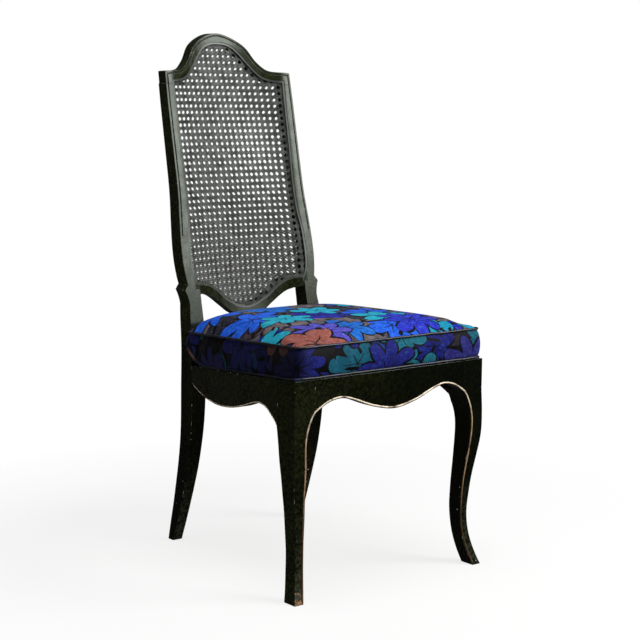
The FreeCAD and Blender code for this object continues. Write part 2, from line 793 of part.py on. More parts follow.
def cushion_wire(front_x, rear_x, outset, height, tilt):
    """Rounded plan outline of the cushion on a plane that tilts to the back. The posts stop it behind."""
    front = cushion_front_gap - outset
    rear = seat_depth - cushion_rear_gap + min(outset, welt_radius / 2)
    corners = [V(front_x + outset, front, 0), V(rear_x + outset, rear, 0), V(-rear_x - outset, rear, 0),
               V(-front_x - outset, front, 0)]
    radius = cushion_radius + outset
    arcs = []
    for index, corner in enumerate(corners):
        before = (corners[index - 1] - corner).normalize()
        after = (corners[(index + 1) % len(corners)] - corner).normalize()
        half_angle = before.getAngle(after) / 2
        run = radius / math.tan(half_angle)
        centre = corner + (before + after).normalize() * (radius / math.sin(half_angle))
        top = centre + (corner - centre).normalize() * radius
        arcs.append((corner + before * run, top, corner + after * run))
    edges = []
    for index, (start, top, end) in enumerate(arcs):
        edges.append(Part.Arc(start, top, end).toShape())
        edges.append(straight(end, arcs[(index + 1) % len(arcs)][0]))
    wire = Part.Wire(edges)
    wire.rotate(V(0, 0, 0), V(1, 0, 0), -math.degrees(math.atan(tilt)))
    wire.translate(V(0, 0, seat_height + height))
    return wire


def crown_surface(tilt):
    """The cushion's top: full in the middle and falling to every edge, a welt's radius past its outline."""
    halves = [(-out, high) for out, high in reversed(crown_shares)] + crown_shares[1:]
    front = cushion_front_gap - welt_radius
    rear = seat_depth - cushion_rear_gap + welt_radius
    rows = []
    for along, high_along in halves:
        y = (front + rear) / 2 + (rear - front) / 2 * along
        back = (y - front) / (rear - front)
        half = cushion_top_front_half_width * (1 - back) + cushion_top_rear_half_width * back + welt_radius
        level = seat_height + cushion_border - tilt * y
        rows.append([V(half * across, y, level + cushion_crown * high_across * high_along)
                     for across, high_across in halves])
    surface = Part.BSplineSurface()
    surface.interpolate(rows)
    return surface.toShape()


def cushion_and_welts():
    """Box cushion with its crown, and the welt round its top and bottom edges."""
    rise = seat_slope * cushion_top_slope_share
    bottom = (cushion_bottom_front_half_width, cushion_bottom_rear_half_width)
    top = (cushion_top_front_half_width, cushion_top_rear_half_width)
    middle = ((bottom[0] + top[0]) / 2, (bottom[1] + top[1]) / 2)
    lower = cushion_wire(*bottom, 0.0, 0.0, seat_slope)
    waist = cushion_wire(*middle, cushion_bulge, cushion_border / 2, (seat_slope + rise) / 2)
    upper = cushion_wire(*top, 0.0, cushion_border, rise)
    border = Part.makeLoft([lower, waist, upper], True, False)
    under_crown = crown_surface(rise).extrude(V(0, 0, -cushion_crown - cushion_border))
    crown = Part.Face(upper).extrude(V(0, 0, cushion_crown + overrun)).common(under_crown)
    cushion = border.fuse(crown).removeSplitter()
    welts = []
    for half_widths, height, tilt in ((bottom, welt_radius + welt_clearance, seat_slope),
                                      (top, cushion_border, rise)):
        path = cushion_wire(*half_widths, welt_radius / 2, height, tilt)
        start = path.Edges[1].valueAt(path.Edges[1].FirstParameter)
        along = path.Edges[1].tangentAt(path.Edges[1].FirstParameter)
        ring = Part.Wire(Part.makeCircle(welt_radius, start, along))
        ordered = Part.Wire(path.Edges[1:] + path.Edges[:1])
        welts.append(ordered.makePipeShell([ring], True, False))
    for welt in welts:
        cushion = cushion.cut(welt)
    cushion = max(cushion.Solids, key=lambda solid: solid.Volume)
    return cushion, welts[0], welts[1]


def build():
    blank = back_elevation().cut(seen_from_front(opening_edges(rebate_width)))
    front_rebate, rear_rebate = rebates()
    groove = edge_groove()
    post = back_post(blank, front_rebate, rear_rebate).cut(groove)
    leg = front_leg()
    front_rail = front_seat_rail()
    side_rail = side_seat_rail(post)
    rear_rail = rear_seat_rail()
    board = seat_board().cut(post).cut(mirrored(post))

    front_corners = front_block_corners()
    rear_corners = rear_block_corners()
    front_block = corner_block(front_corners, [front_rail, side_rail, leg])
    rear_block = corner_block(rear_corners, [rear_rail, side_rail, post])
    front_up, front_screws = screws_for(front_corners, -1, rail_thickness - front_rail_bow / 2)
    rear_up, rear_screws = screws_for(rear_corners, 1, seat_depth + rear_rail_setback)
    half_block_screws = front_screws + rear_screws
    half_seat_screws = [front_up, rear_up]
    for item in half_block_screws:
        front_block = front_block.cut(item)
        rear_block = rear_block.cut(item)
        front_rail = front_rail.cut(item).cut(mirrored(item))
        rear_rail = rear_rail.cut(item).cut(mirrored(item))
        side_rail = side_rail.cut(item)
        post = post.cut(item)
        leg = leg.cut(item)
    for item in half_seat_screws:
        front_block = front_block.cut(item)
        rear_block = rear_block.cut(item)
        board = board.cut(item).cut(mirrored(item))

    cushion, welt_bottom, welt_top = cushion_and_welts()
    mesh = mesh_prism()
    cane_offset = rebate_depth - cane_clearance - cane_thickness
    rear_cane_offset = back_rail_thickness - rebate_depth + cane_clearance
    shapes = {
        "back_post_left": post,
        "back_post_right": mirrored(post),
        "crest_rail": crest_rail(blank, front_rebate, rear_rebate).cut(groove),
        "lower_back_rail": lower_back_rail(blank, front_rebate, rear_rebate),
        "rear_seat_rail": rear_rail,
        "front_leg_left": leg,
        "front_leg_right": mirrored(leg),
        "front_seat_rail": front_rail,
        "side_seat_rail_left": side_rail,
        "side_seat_rail_right": mirrored(side_rail),
        "corner_block_front_left": front_block,
        "corner_block_front_right": mirrored(front_block),
        "corner_block_rear_left": rear_block,
        "corner_block_rear_right": mirrored(rear_block),
        "block_screws": Part.makeCompound(half_block_screws + [mirrored(item) for item in half_block_screws]),
        "seat_screws": Part.makeCompound(half_seat_screws + [mirrored(item) for item in half_seat_screws]),
        "seat_board": board,
        "seat_cushion": cushion,
        "cushion_welt_bottom": welt_bottom,
        "cushion_welt_top": welt_top,
        "cane_front": cane_panel(mesh, cane_offset),
        "cane_rear": cane_panel(mesh, rear_cane_offset),
        "cane_spline_front": cane_spline(cane_offset - cane_clearance - spline_height),
        "cane_spline_rear": cane_spline(rear_cane_offset + cane_thickness + cane_clearance),
    }
    return shapes


def main():
    shapes = build()
    box = Part.makeCompound(list(shapes.values())).BoundBox
    shift = V(-(box.XMin + box.XMax) / 2, -(box.YMin + box.YMax) / 2, -box.ZMin)
    print("origin moved by", shift)
    os.makedirs("parts", exist_ok=True)
    for name, shape in shapes.items():
        shape.translate(shift)
        valid = shape.isValid()
        print(name, "solids", len(shape.Solids), "valid", valid, "volume", round(shape.Volume))
        shape.exportStep("parts/" + name + ".step")


main()
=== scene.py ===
import math

import bpy
import bmesh
from mathutils import Matrix, Vector, noise
from mathutils.bvhtree import BVHTree


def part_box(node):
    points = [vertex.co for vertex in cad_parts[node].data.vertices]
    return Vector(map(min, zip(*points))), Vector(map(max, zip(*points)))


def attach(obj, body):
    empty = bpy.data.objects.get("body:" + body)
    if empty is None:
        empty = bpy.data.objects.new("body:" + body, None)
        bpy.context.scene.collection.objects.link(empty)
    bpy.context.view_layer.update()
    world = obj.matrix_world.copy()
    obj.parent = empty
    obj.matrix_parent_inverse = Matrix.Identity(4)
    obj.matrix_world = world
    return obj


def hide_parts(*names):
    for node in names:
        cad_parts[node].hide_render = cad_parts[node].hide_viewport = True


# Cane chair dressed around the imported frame. Metres, in the frame's own place: +X is the sitter's
# left, -Y is the front, +Z is up and z = 0 is the floor.

MM = 0.001

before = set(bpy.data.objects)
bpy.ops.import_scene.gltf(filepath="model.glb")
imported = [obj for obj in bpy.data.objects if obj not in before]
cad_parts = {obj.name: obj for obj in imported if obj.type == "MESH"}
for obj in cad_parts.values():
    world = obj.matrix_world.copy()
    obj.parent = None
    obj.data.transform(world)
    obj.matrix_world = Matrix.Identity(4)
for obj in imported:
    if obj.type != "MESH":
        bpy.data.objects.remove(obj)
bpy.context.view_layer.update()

# Camera, as fitted to the photograph
camera_place = Vector((-2.04752, -2.66796, 0.96582))
camera_azimuth = math.radians(-38.36)
camera_elevation = math.radians(8.03)
camera_roll = math.radians(0.61)
camera_lens = 91.37
sensor_width = 36.0

# Back: the plane of its front face, its curve in plan and its cane opening
back_rake = math.radians(11.83)
back_base_height = 480.0 * MM
back_base_setback = 6.5 * MM
back_sag = 32.0 * MM
sag_half_width = 165.0 * MM
back_rail_thickness = 27.0 * MM
opening_top_height = 1068.3 * MM
opening_shoulder_height = 986.3 * MM
opening_half_width = 148.0 * MM
opening_corner_height = 558.2 * MM
opening_bottom_height = 498.0 * MM
rebate_width = 8.0 * MM
rebate_depth = 6.0 * MM
cane_flatness = 0.7
outline_parts = 4

# Woven cane: its strands, and where the middle of its thickness lies over the floor of its rebate
mesh_pitch = 13.5 * MM
rear_mesh_pitch = 13.35 * MM
pair_gap = 2.9 * MM
strand_steps = 4
strand_width = 2.1 * MM
strand_thickness = 0.55 * MM
pair_lift = 0.22 * MM
diagonal_lift = 0.5 * MM
cane_edge_gap = 1.2 * MM
cane_middle = 0.85 * MM

# Corners of a strand's flat section, as shares of its width and of its thickness
strand_section_shares = ((-0.5, 0.0), (0.0, 0.5), (0.5, 0.0), (0.0, -0.5))

# Seat: its height, and its fall and its depth in millimetres
seat_height = 430.0 * MM
seat_fall = 37.0
seat_depth = 442.0
seat_slope = seat_fall / seat_depth
crown_slope_share = 0.72
crown_slope = crown_slope_share * seat_slope

# Cushion, in plan and in height
bottom_front_half_width = 238.0 * MM
bottom_rear_half_width = 178.0 * MM
top_front_half_width = 232.0 * MM
top_rear_half_width = 189.0 * MM
cushion_front_gap = 1.0 * MM
cushion_rear_gap = 7.0 * MM
cushion_radius = 14.0 * MM
cushion_border = 62.0 * MM
cushion_crown = 38.0 * MM
crown_share = 0.52
crown_front_share = 0.65
crown_rear_share = 1.25
cushion_bulge = 6.0 * MM
bulge_power = 0.8
corner_swell = 9.0 * MM
corner_lift = 12.0 * MM
corner_reach = 60.0 * MM
corner_steps = 24
side_cells = 52
border_rows = 8
bottom_dip = 1.5 * MM
shortest_step = 1e-9

# Cloth of the cushion while it is blown up
cloth_quality = 6
cloth_mass = 0.35
cloth_pressure = 6.0
cloth_stretch = 12.0
cloth_shear = 5.0
cloth_bend = 0.5
cloth_slack = 0.025
swell_frames = 18
swell_limit = 4.5 * MM

# Welts
welt_radius = 2.6 * MM
welt_lift = 0.6 * MM
welt_outset_share = 0.5
welt_cells = 70
welt_sway = 0.8 * MM
welt_sway_scale = 35.0
welt_jitter = 0.12
jitter_scale = 90.0

# The border's part of the print
border_start = 0.83
border_level = 0.21

# Gilt lines along the aprons and down the front legs
leg_outer = 240.0 * MM
leg_block_width = 48.0 * MM
leg_height = 364.0 * MM
leg_middle_shares = [(0.0, 0.18), (0.08, 0.36), (0.25, 0.555), (0.41, 0.535), (0.577, 0.42),
                     (0.74, 0.30), (1.0, 0.47)]
gilt_radius = 1.5 * MM
gilt_inset = 2.9 * MM
side_gilt_radius = 0.7 * MM
side_gilt_inset = 2.0 * MM
side_gilt_margin = 8.0 * MM
gilt_foot_gap = 4.0 * MM
gilt_leg_margin = 10.0 * MM
gilt_jitter = 0.25
apron_half = 190.0 * MM
leg_steps = 46
apron_steps = 40

# Rays that find the aprons' edges: where they start, how far under the seat, how far behind a face
front_ray_reach = 0.1
side_ray_start = 0.5
rising_ray_start = 0.1
front_ray_drop = 25.0 * MM
side_ray_drop = 20.0 * MM
face_skin = 0.4 * MM

# Where a material changes, from the first place to the second, in metres
# Painted shade on the right part of the front and on the rear legs: where it begins and where it is full
painted_shade_front_x = (-0.21, 0.04)
painted_shade_front_z = (0.47, 0.43)
painted_shade_rear_y = (0.08, 0.16)
painted_shade_rear_z = (0.47, 0.40)
dust_z = (0.45, 0.5)
ash_z = (0.19, 0.03)
low_wear_z = (0.36, 0.02)
# Painted highlight along the back's edges: where it begins and where it is full
painted_highlight_z = (0.5, 0.56)
bare_toe_z = (0.017, 0.011)
near_foot_x = (0.05, -0.05)
near_foot_y = (0.0, -0.1)
bright_gilt_z = (0.30, 0.36)
dark_gilt_z = (0.24, 0.12)
shaded_velvet_x = (-0.19, -0.235)
border_fade_start = 12.0 * MM
border_fade_end = 11.0 * MM

# Sizes of the edges that are rubbed or carry painted highlights and of the hollows that get painted
# shade, and the print's sway
rub_and_highlight_radius = 1.5 * MM
hollow_shade_reach = 4.0 * MM
reed_hollow_shade_reach = 3.0 * MM
print_sway = 26.0 * MM

# Strength of the surround and the floor, as lamps and as the lacquer mirrors them
surround_light = 0.16
surround_mirrored = 0.05
floor_mirrored = 0.03

# The floor as the camera sees it: how far out it turns white, and its share of white near and far
floor_fade = (0.55, 1.15)
floor_white_shares = (0.78, 1.0)

# Lamps: name, place, the point that it faces, size and power
lamps = (
    ("window", (1.75, -2.05, 2.0), (0.0, 0.1, 0.8), 1.5, 84.0),
    ("overhead", (-0.2, -0.4, 2.9), (0.0, 0.0, 0.4), 1.6, 45.0),
    ("left_fill", (-2.4, 0.2, 1.4), (0.0, 0.0, 0.5), 1.2, 5.0),
)
floor_size = 30.0

# Outlines of the cane opening, and plan of the back, as shares of the sizes that they follow
opening_top_shares = [(1.0, 0.0), (0.82, 0.027), (0.68, 0.11), (0.59, 0.245), (0.497, 0.435),
                      (0.42, 0.605), (0.33, 0.785), (0.22, 0.93), (0.115, 0.985), (0.0, 1.0)]
opening_side_shares = [(0.94, 0.0), (0.973, 0.009), (1.017, 0.04), (1.04, 0.086), (1.04, 0.168),
                       (1.027, 0.25), (0.99, 0.33), (0.972, 0.425), (0.971, 0.54), (0.983, 0.68),
                       (0.987, 0.85), (1.0, 1.0)]
opening_bottom_shares = [(1.0, 0.0), (0.86, 0.03), (0.76, 0.087), (0.70, 0.145), (0.63, 0.245),
                         (0.52, 0.43), (0.45, 0.575), (0.345, 0.725), (0.215, 0.89), (0.07, 0.985),
                         (0.0, 1.0)]
opening_reach_share = 1.1
back_plan_shares = [(0.0, 1.0), (0.25, 0.91), (0.50, 0.65), (0.70, 0.33), (0.85, 0.06), (1.0, 0.0)]

# The paint on the seat board runs this far in under the cushion's rear edge
paint_overlap = 15.0 * MM

# Front of the chair's seat, read from the frame: the board starts its margin behind the legs' faces
board_margin = 12.0 * MM
seat_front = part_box("seat_board")[0].y - board_margin
seat_rear = seat_front + seat_depth * MM


def linear(red, green, blue):
    """Linear colour of three screen values from 0 to 255."""
    def channel(value):
        value = value / 255
        if value <= 0.04045:
            return value / 12.92
        return ((value + 0.055) / 1.055) ** 2.4
    return (channel(red), channel(green), channel(blue), 1.0)


class Nodes:
    """Short ways to add nodes to one new material and to join them."""

    def __init__(self, name):
        self.material = bpy.data.materials.new(name)
        self.material.use_nodes = True
        self.tree = self.material.node_tree
        self.shader = self.tree.nodes["Principled BSDF"]
        self.end = self.tree.nodes["Material Output"]

    def put(self, value, socket):
        if isinstance(value, bpy.types.NodeSocket):
            self.tree.links.new(value, socket)
        else:
            socket.default_value = value

    def add(self, kind, inputs=None, **settings):
        node = self.tree.nodes.new(kind)
        for key, value in settings.items():
            setattr(node, key, value)
        for key, value in (inputs or {}).items():
            self.put(value, node.inputs[key])
        return node

    def math(self, operation, first, second=0.0, clamp=False):
        node = self.add("ShaderNodeMath", {0: first, 1: second}, operation=operation, use_clamp=clamp)
        return node.outputs[0]

    def times(self, first, *others):
        for other in others:
            first = self.math("MULTIPLY", first, other)
        return first

    def vector(self, operation, first, second=(0.0, 0.0, 0.0)):
        node = self.add("ShaderNodeVectorMath", {0: first, 1: second}, operation=operation)
        if operation in ("LENGTH", "DOT_PRODUCT"):
            return node.outputs["Value"]
        return node.outputs["Vector"]

    def scaled(self, vector, factor):
        node = self.add("ShaderNodeVectorMath", {0: vector, "Scale": factor}, operation="SCALE")
        return node.outputs["Vector"]

    def split(self, vector):
        node = self.add("ShaderNodeSeparateXYZ", {0: vector})
        return node.outputs[0], node.outputs[1], node.outputs[2]

    def join(self, x, y):
        return self.add("ShaderNodeCombineXYZ", {0: x, 1: y}).outputs[0]

    def span(self, value, low, high, start=0.0, end=1.0):
        node = self.add("ShaderNodeMapRange", {0: value, 1: low, 2: high, 3: start, 4: end})
        return node.outputs[0]

    def mix(self, share, first, second):
        node = self.add("ShaderNodeMix", {0: share}, data_type="RGBA")
        self.put(first, node.inputs[6])
        self.put(second, node.inputs[7])
        return node.outputs[2]

    def noise(self, vector, scale, detail=3.0, rough=0.5):
        return self.add("ShaderNodeTexNoise", {"Vector": vector, "Scale": scale, "Detail": detail,
                                               "Roughness": rough}).outputs[0]

    def steps(self, value, stops):
        """Colours in steps, each from its stop to the next."""
        node = self.add("ShaderNodeValToRGB", {0: value})
        node.color_ramp.interpolation = "CONSTANT"
        while len(node.color_ramp.elements) < len(stops):
            node.color_ramp.elements.new(0.5)
        for element, (place, colour) in zip(node.color_ramp.elements, stops):
            element.position = place
            element.color = colour
        return node.outputs[0]

    def place(self):
        return self.add("ShaderNodeTexCoord").outputs["Object"]

    def true_normal(self):
        return self.add("ShaderNodeNewGeometry").outputs["True Normal"]

    def openness(self, distance):
        return self.add("ShaderNodeAmbientOcclusion", {"Distance": distance}, samples=6).outputs["AO"]

    def glow(self, strength):
        """White light of its own."""
        node = self.add("ShaderNodeEmission", {"Color": (1.0, 1.0, 1.0, 1.0), "Strength": strength})
        return node.outputs[0]

    def bump(self, height, strength, distance):
        node = self.add("ShaderNodeBump", {"Height": height, "Strength": strength,
                                           "Distance": distance})
        self.put(node.outputs[0], self.shader.inputs["Normal"])
        return node

    def finish(self, colour, rough, **fixed):
        self.put(colour, self.shader.inputs["Base Color"])
        self.put(rough, self.shader.inputs["Roughness"])
        for key, value in fixed.items():
            self.shader.inputs[key.replace("_", " ")].default_value = value
        return self.material


# Materials. A noise's numbers are its scale, detail and roughness. A span's numbers are the two limits
# of a value, and then what they turn into where that isn't 0 and 1.

def lacquer_material():
    """Black lacquer with an olive cast, dry and dull in patches, with rubbed edges and a few chips,
    painted shade on the right of the front, on the rear legs and in hollows, and painted highlights along
    the edges of the back.
    """
    n = Nodes("black_lacquer")
    place = n.place()
    cloud = n.noise(place, 9.0, 4.0)
    grime = n.noise(place, 150.0, 5.0, 0.7)
    x, y, z = n.split(place)
    base = n.mix(n.span(cloud, 0.35, 0.7), linear(4, 5, 2), linear(19, 22, 6))
    true_normal = n.true_normal()
    faces_front = n.span(n.split(true_normal)[1], -0.35, -0.75)
    # Painted shade: the right part of the front and the rear legs are painted darker and with less dust,
    # and the same mask makes them glossier
    right_front = n.times(n.span(x, *painted_shade_front_x), n.span(z, *painted_shade_front_z))
    rear_legs = n.times(n.span(y, *painted_shade_rear_y), n.span(z, *painted_shade_rear_z))
    painted_shade_and_gloss = n.math("MAXIMUM", right_front, rear_legs)
    base = n.mix(n.times(painted_shade_and_gloss, 0.8), base, linear(3, 4, 3))
    dust = n.times(n.span(grime, 0.44, 0.66), n.span(z, *dust_z, 0.5, 0.6))
    dust = n.times(dust, n.span(painted_shade_and_gloss, 0.0, 1.0, 1.0, 0.2))
    base = n.mix(dust, base, linear(49, 54, 14))
    ash = n.times(n.span(z, *ash_z), n.span(grime, 0.42, 0.62))
    ash = n.times(ash, faces_front)
    base = n.mix(n.times(ash, 0.5), base, linear(74, 76, 58))
    round_normal = n.add("ShaderNodeBevel", {"Radius": rub_and_highlight_radius}, samples=6).outputs[0]
    edge = n.math("SUBTRACT", 1.0, n.vector("DOT_PRODUCT", true_normal, round_normal))
    edge = n.span(edge, 0.02, 0.2)
    low = n.span(z, *low_wear_z)
    broken = n.noise(place, 55.0, 4.0, 0.65)
    rub = n.times(edge, n.span(n.math("ADD", broken, n.times(low, 0.05)), 0.52, 0.66))
    base = n.mix(n.times(rub, 0.5), base, linear(98, 96, 76))
    # Painted highlight: pale lines along the edges of the back, above the seat
    high = n.times(n.span(z, *painted_highlight_z), n.span(broken, 0.38, 0.6, 0.25, 0.75))
    base = n.mix(n.times(edge, high), base, linear(150, 156, 142))
    chance = n.math("ADD", n.noise(place, 95.0, 2.0), n.times(low, 0.05))
    chip = n.times(n.span(edge, 0.06, 0.3), n.span(chance, 0.665, 0.685))
    base = n.mix(chip, base, linear(206, 196, 178))
    speck = n.times(low, n.span(n.noise(place, 170.0, 1.0), 0.785, 0.80))
    base = n.mix(speck, base, linear(200, 196, 184))
    scuff = n.noise(place, 75.0, 4.0, 0.65)
    toe = n.math("ADD", z, n.span(scuff, 0.3, 0.7, 0.008, -0.012))
    bare = n.times(n.span(toe, *bare_toe_z), n.span(scuff, 0.42, 0.52))
    near_foot = n.times(n.span(x, *near_foot_x), n.span(y, *near_foot_y))
    bare = n.times(bare, n.times(faces_front, near_foot))
    timber = n.mix(n.span(grime, 0.4, 0.6), linear(92, 68, 48), linear(158, 110, 74))
    base = n.mix(bare, base, timber)
    # Painted shade in hollows and where parts meet; the same mask makes the lacquer rougher there
    painted_hollow_shade = n.span(n.openness(hollow_shade_reach), 0.85, 0.45)
    base = n.mix(n.times(painted_hollow_shade, 0.9), base, linear(3, 3, 3))
    rough = n.span(n.noise(place, 40.0, 4.0), 0.3, 0.7, 0.2, 0.33)
    rough = n.math("SUBTRACT", rough, n.times(painted_shade_and_gloss, 0.12))
    rough = n.math("ADD", rough, n.times(painted_hollow_shade, 0.5), clamp=True)
    ripple = n.math("ADD", n.noise(place, 260.0, 4.0, 0.6), n.times(n.noise(place, 25.0, 2.0), 2.0))
    bump = n.bump(ripple, strength=0.2, distance=0.4 * MM)
    n.put(round_normal, bump.inputs["Normal"])
    return n.finish(base, rough, Specular_IOR_Level=0.32, Specular_Tint=linear(243, 255, 243))


def cane_material():
    """Painted cane: dark, semi-gloss, with a painted highlight along the top of each strand and painted
    shade down its sides and underneath.
    """
    n = Nodes("cane")
    place = n.place()
    shade = n.noise(place, 60.0, 4.0)
    ridge = n.split(n.add("ShaderNodeUVMap", uv_map="weave").outputs[0])[1]
    # Painted highlight along the top of each strand, and painted shade, near black, down its sides and
    # underneath
    strand_top_with_highlight = n.mix(n.span(shade, 0.35, 0.65), linear(31, 36, 30), linear(128, 136, 124))
    base = n.mix(n.span(ridge, 0.4, 0.85), linear(7, 9, 7), strand_top_with_highlight)
    fibre = n.noise(place, 700.0, 2.0)
    base = n.mix(n.times(n.span(fibre, 0.4, 0.7), 0.35), base, linear(12, 14, 12))
    n.bump(fibre, strength=0.3, distance=0.15 * MM)
    return n.finish(base, 0.32, Specular_IOR_Level=0.6)


def reed_material():
    """Painted reed of the splines, with painted shade where it meets the frame."""
    n = Nodes("reed")
    place = n.place()
    base = n.mix(n.noise(place, 50.0, 3.0), linear(30, 34, 30), linear(76, 82, 74))
    # Painted shade where the reed meets the frame
    base = n.mix(n.span(n.openness(reed_hollow_shade_reach), 0.7, 0.35), base, linear(3, 3, 3))
    n.bump(n.noise(place, 400.0, 2.0), strength=0.2, distance=0.2 * MM)
    return n.finish(base, 0.36)


def gilt_material():
    """Old gilt line, rubbed through in places."""
    n = Nodes("gilt")
    place = n.place()
    worn = n.noise(place, 45.0, 4.0)
    z = n.split(place)[2]
    bright = n.mix(n.span(z, *bright_gilt_z), linear(196, 160, 118), linear(244, 226, 200))
    bright = n.mix(n.span(z, *dark_gilt_z), bright, linear(84, 56, 32))
    base = n.mix(n.span(worn, 0.32, 0.52), linear(96, 72, 44), bright)
    base = n.mix(n.span(n.noise(place, 160.0, 3.0), 0.64, 0.7), base, linear(44, 34, 20))
    n.bump(n.noise(place, 500.0, 2.0), strength=0.3, distance=0.1 * MM)
    return n.finish(base, 0.42, Metallic=0.15)


def wood_material(name, dark, light, stretch, painted_edges=False):
    """Bare wood with its grain along one way. Where asked, its upright edges and what shows behind
    the cushion are painted black."""
    n = Nodes(name)
    place = n.vector("MULTIPLY", n.place(), stretch)
    grain = n.noise(place, 60.0, 6.0, 0.6)
    base = n.mix(n.span(grain, 0.3, 0.7), dark, light)
    if painted_edges:
        upright = n.math("LESS_THAN", n.math("ABSOLUTE", n.split(n.true_normal())[2]), 0.5)
        paint_start = seat_rear - cushion_rear_gap - paint_overlap
        behind = n.math("GREATER_THAN", n.split(n.place())[1], paint_start)
        base = n.mix(n.math("MAXIMUM", upright, behind), base, linear(8, 9, 6))
    n.bump(grain, strength=0.2, distance=0.3 * MM)
    return n.finish(base, 0.6)


def steel_material():
    n = Nodes("screw_steel")
    place = n.place()
    base = n.mix(n.noise(place, 200.0, 3.0), linear(120, 118, 112), linear(176, 172, 164))
    rough = n.span(n.noise(place, 300.0, 3.0), 0.3, 0.7, 0.3, 0.5)
    return n.finish(base, rough, Metallic=1.0)


def blossoms(n, flat, size, count, fullness, turn, offset):
    """One layer of scattered blossoms with drop-shaped petals, one blossom to a cell."""
    turned = n.add("ShaderNodeVectorRotate", {"Vector": flat, "Angle": turn},
                   rotation_type="Z_AXIS").outputs[0]
    scaled = n.scaled(n.vector("ADD", turned, (offset, offset * 0.6, 0.0)), 1.0 / size)
    cells = n.add("ShaderNodeTexVoronoi", {"Vector": scaled, "Scale": 1.0, "Randomness": 0.3},
                  voronoi_dimensions="2D", feature="F1")
    x, y = n.split(n.vector("SUBTRACT", scaled, cells.outputs["Position"]))[:2]
    radius = n.vector("LENGTH", n.join(x, y))
    chance = n.add("ShaderNodeSeparateColor", {0: cells.outputs["Color"]}).outputs
    sector = 2 * math.pi / count
    angle = n.math("ADD", n.math("ARCTAN2", y, x), n.times(chance[0], 9.0))
    spin = n.math("DIVIDE", angle, sector)
    index = n.math("FLOOR", spin)
    swing = n.times(n.math("SUBTRACT", n.math("SUBTRACT", spin, index), 0.5), sector)
    petal = n.join(index, n.times(chance[1], 50.0))
    uneven = n.add("ShaderNodeTexWhiteNoise", {"Vector": petal}, noise_dimensions="2D").outputs[0]

    # A petal's length differs a little from blossom to blossom, and more from petal to petal
    length = n.times(n.span(chance[1], 0.0, 1.0, 0.42, 0.52), n.span(uneven, 0.0, 1.0, 0.8, 1.06))

    # A petal is a drop about its middle line, broadest in its outer half
    along = n.math("DIVIDE", n.times(radius, n.math("COSINE", swing)), length, clamp=True)
    across = n.math("ABSOLUTE", n.times(radius, n.math("SINE", swing)))
    drop = n.times(n.math("POWER", along, 0.75),
                  n.math("POWER", n.math("SUBTRACT", 1.0, along), 0.45))
    inside = n.math("SUBTRACT", n.times(drop, length, fullness), across)
    return inside, chance, along, across


def velvet_material():
    """Velvet printed with bold scattered blossoms and leaves, each with a dark outline."""
    n = Nodes("velvet")
    flat = n.add("ShaderNodeUVMap", uv_map="cloth").outputs[0]
    border = n.span(n.split(flat)[1], border_level - border_fade_start, border_level - border_fade_end)
    drift = n.add("ShaderNodeTexNoise", {"Vector": flat, "Scale": 13.0, "Detail": 2.0}).outputs[1]
    sway = n.scaled(n.vector("SUBTRACT", drift, (0.5, 0.5, 0.5)), print_sway)
    flat = n.vector("ADD", flat, sway)

    ink = linear(4, 4, 9)
    cloud = n.span(n.noise(flat, 45.0, 5.0, 0.6), 0.35, 0.65)
    mottled = n.mix(cloud, linear(56, 50, 56), linear(118, 108, 112))
    colour = n.mix(border, mottled, linear(14, 9, 12))
    plum = [(0.0, linear(60, 44, 56)), (0.5, linear(40, 34, 44)), (0.8, linear(66, 42, 46))]
    royal = [(0.0, linear(18, 34, 170)), (0.35, linear(20, 88, 214)), (0.7, linear(24, 24, 150))]
    sea = [(0.0, linear(8, 136, 168)), (0.45, linear(22, 160, 186)), (0.8, linear(14, 96, 190))]
    violet = [(0.0, linear(60, 56, 176)), (0.5, linear(34, 44, 182)), (0.8, linear(78, 70, 180))]
    rose = [(0.0, linear(182, 122, 106)), (0.45, linear(146, 80, 66)), (0.8, linear(192, 136, 120))]
    # Each layer: a blossom's size, its petals, their fullness, its turn and offset, its share of the
    # cells and its colours
    layers = [
        (120 * MM, 5, 0.72, 0.4, 0.31, 0.90, plum),
        (140 * MM, 7, 0.53, 1.9, 0.05, 0.95, royal),
        (134 * MM, 6, 0.62, 2.7, 0.127, 0.85, sea),
        (146 * MM, 8, 0.46, 0.9, 0.212, 0.70, violet),
        (166 * MM, 6, 0.64, 2.35, 0.18, 0.42, rose),
    ]
    for size, count, fullness, turn, offset, presence, stops in layers:
        inside, chance, along, across = blossoms(n, flat, size, count, fullness, turn, offset)
        inside = n.math("SUBTRACT", inside, n.math("GREATER_THAN", chance[2], presence))
        tone = n.steps(chance[0], stops)
        fleck = n.noise(flat, 170.0, 4.0, 0.7)
        tone = n.mix(n.times(n.span(fleck, 0.48, 0.72), 0.5), tone, linear(12, 16, 52))
        tone = n.mix(n.times(n.span(fleck, 0.46, 0.3), 0.3), tone, linear(120, 176, 214))
        crease = n.times(n.span(across, 0.011, 0.006), n.span(along, 0.55, 0.35))
        tone = n.mix(n.times(crease, 0.9), tone, ink)
        colour = n.mix(n.span(inside, -0.030, -0.022), colour, ink)
        colour = n.mix(n.span(inside, 0.0, 0.008), colour, tone)
    nap = n.noise(flat, 1100.0, 2.0)
    crush = n.noise(flat, 38.0, 4.0)
    colour = n.mix(n.times(n.span(crush, 0.5, 0.75), 0.3), colour, linear(6, 6, 12))
    faces_right = n.span(n.split(n.true_normal())[0], -0.5, -0.85, 0.0, 0.88)
    near_right = n.span(n.split(n.place())[0], *shaded_velvet_x, 0.62, 0.94)
    shade = n.math("MAXIMUM", near_right, faces_right)
    colour = n.mix(n.times(border, shade), colour, linear(3, 3, 9))
    n.bump(n.math("ADD", nap, n.times(crush, 3.0)), strength=0.35, distance=0.35 * MM)
    return n.finish(colour, 0.66, Sheen_Weight=0.03, Sheen_Roughness=0.4, Specular_IOR_Level=0.12)


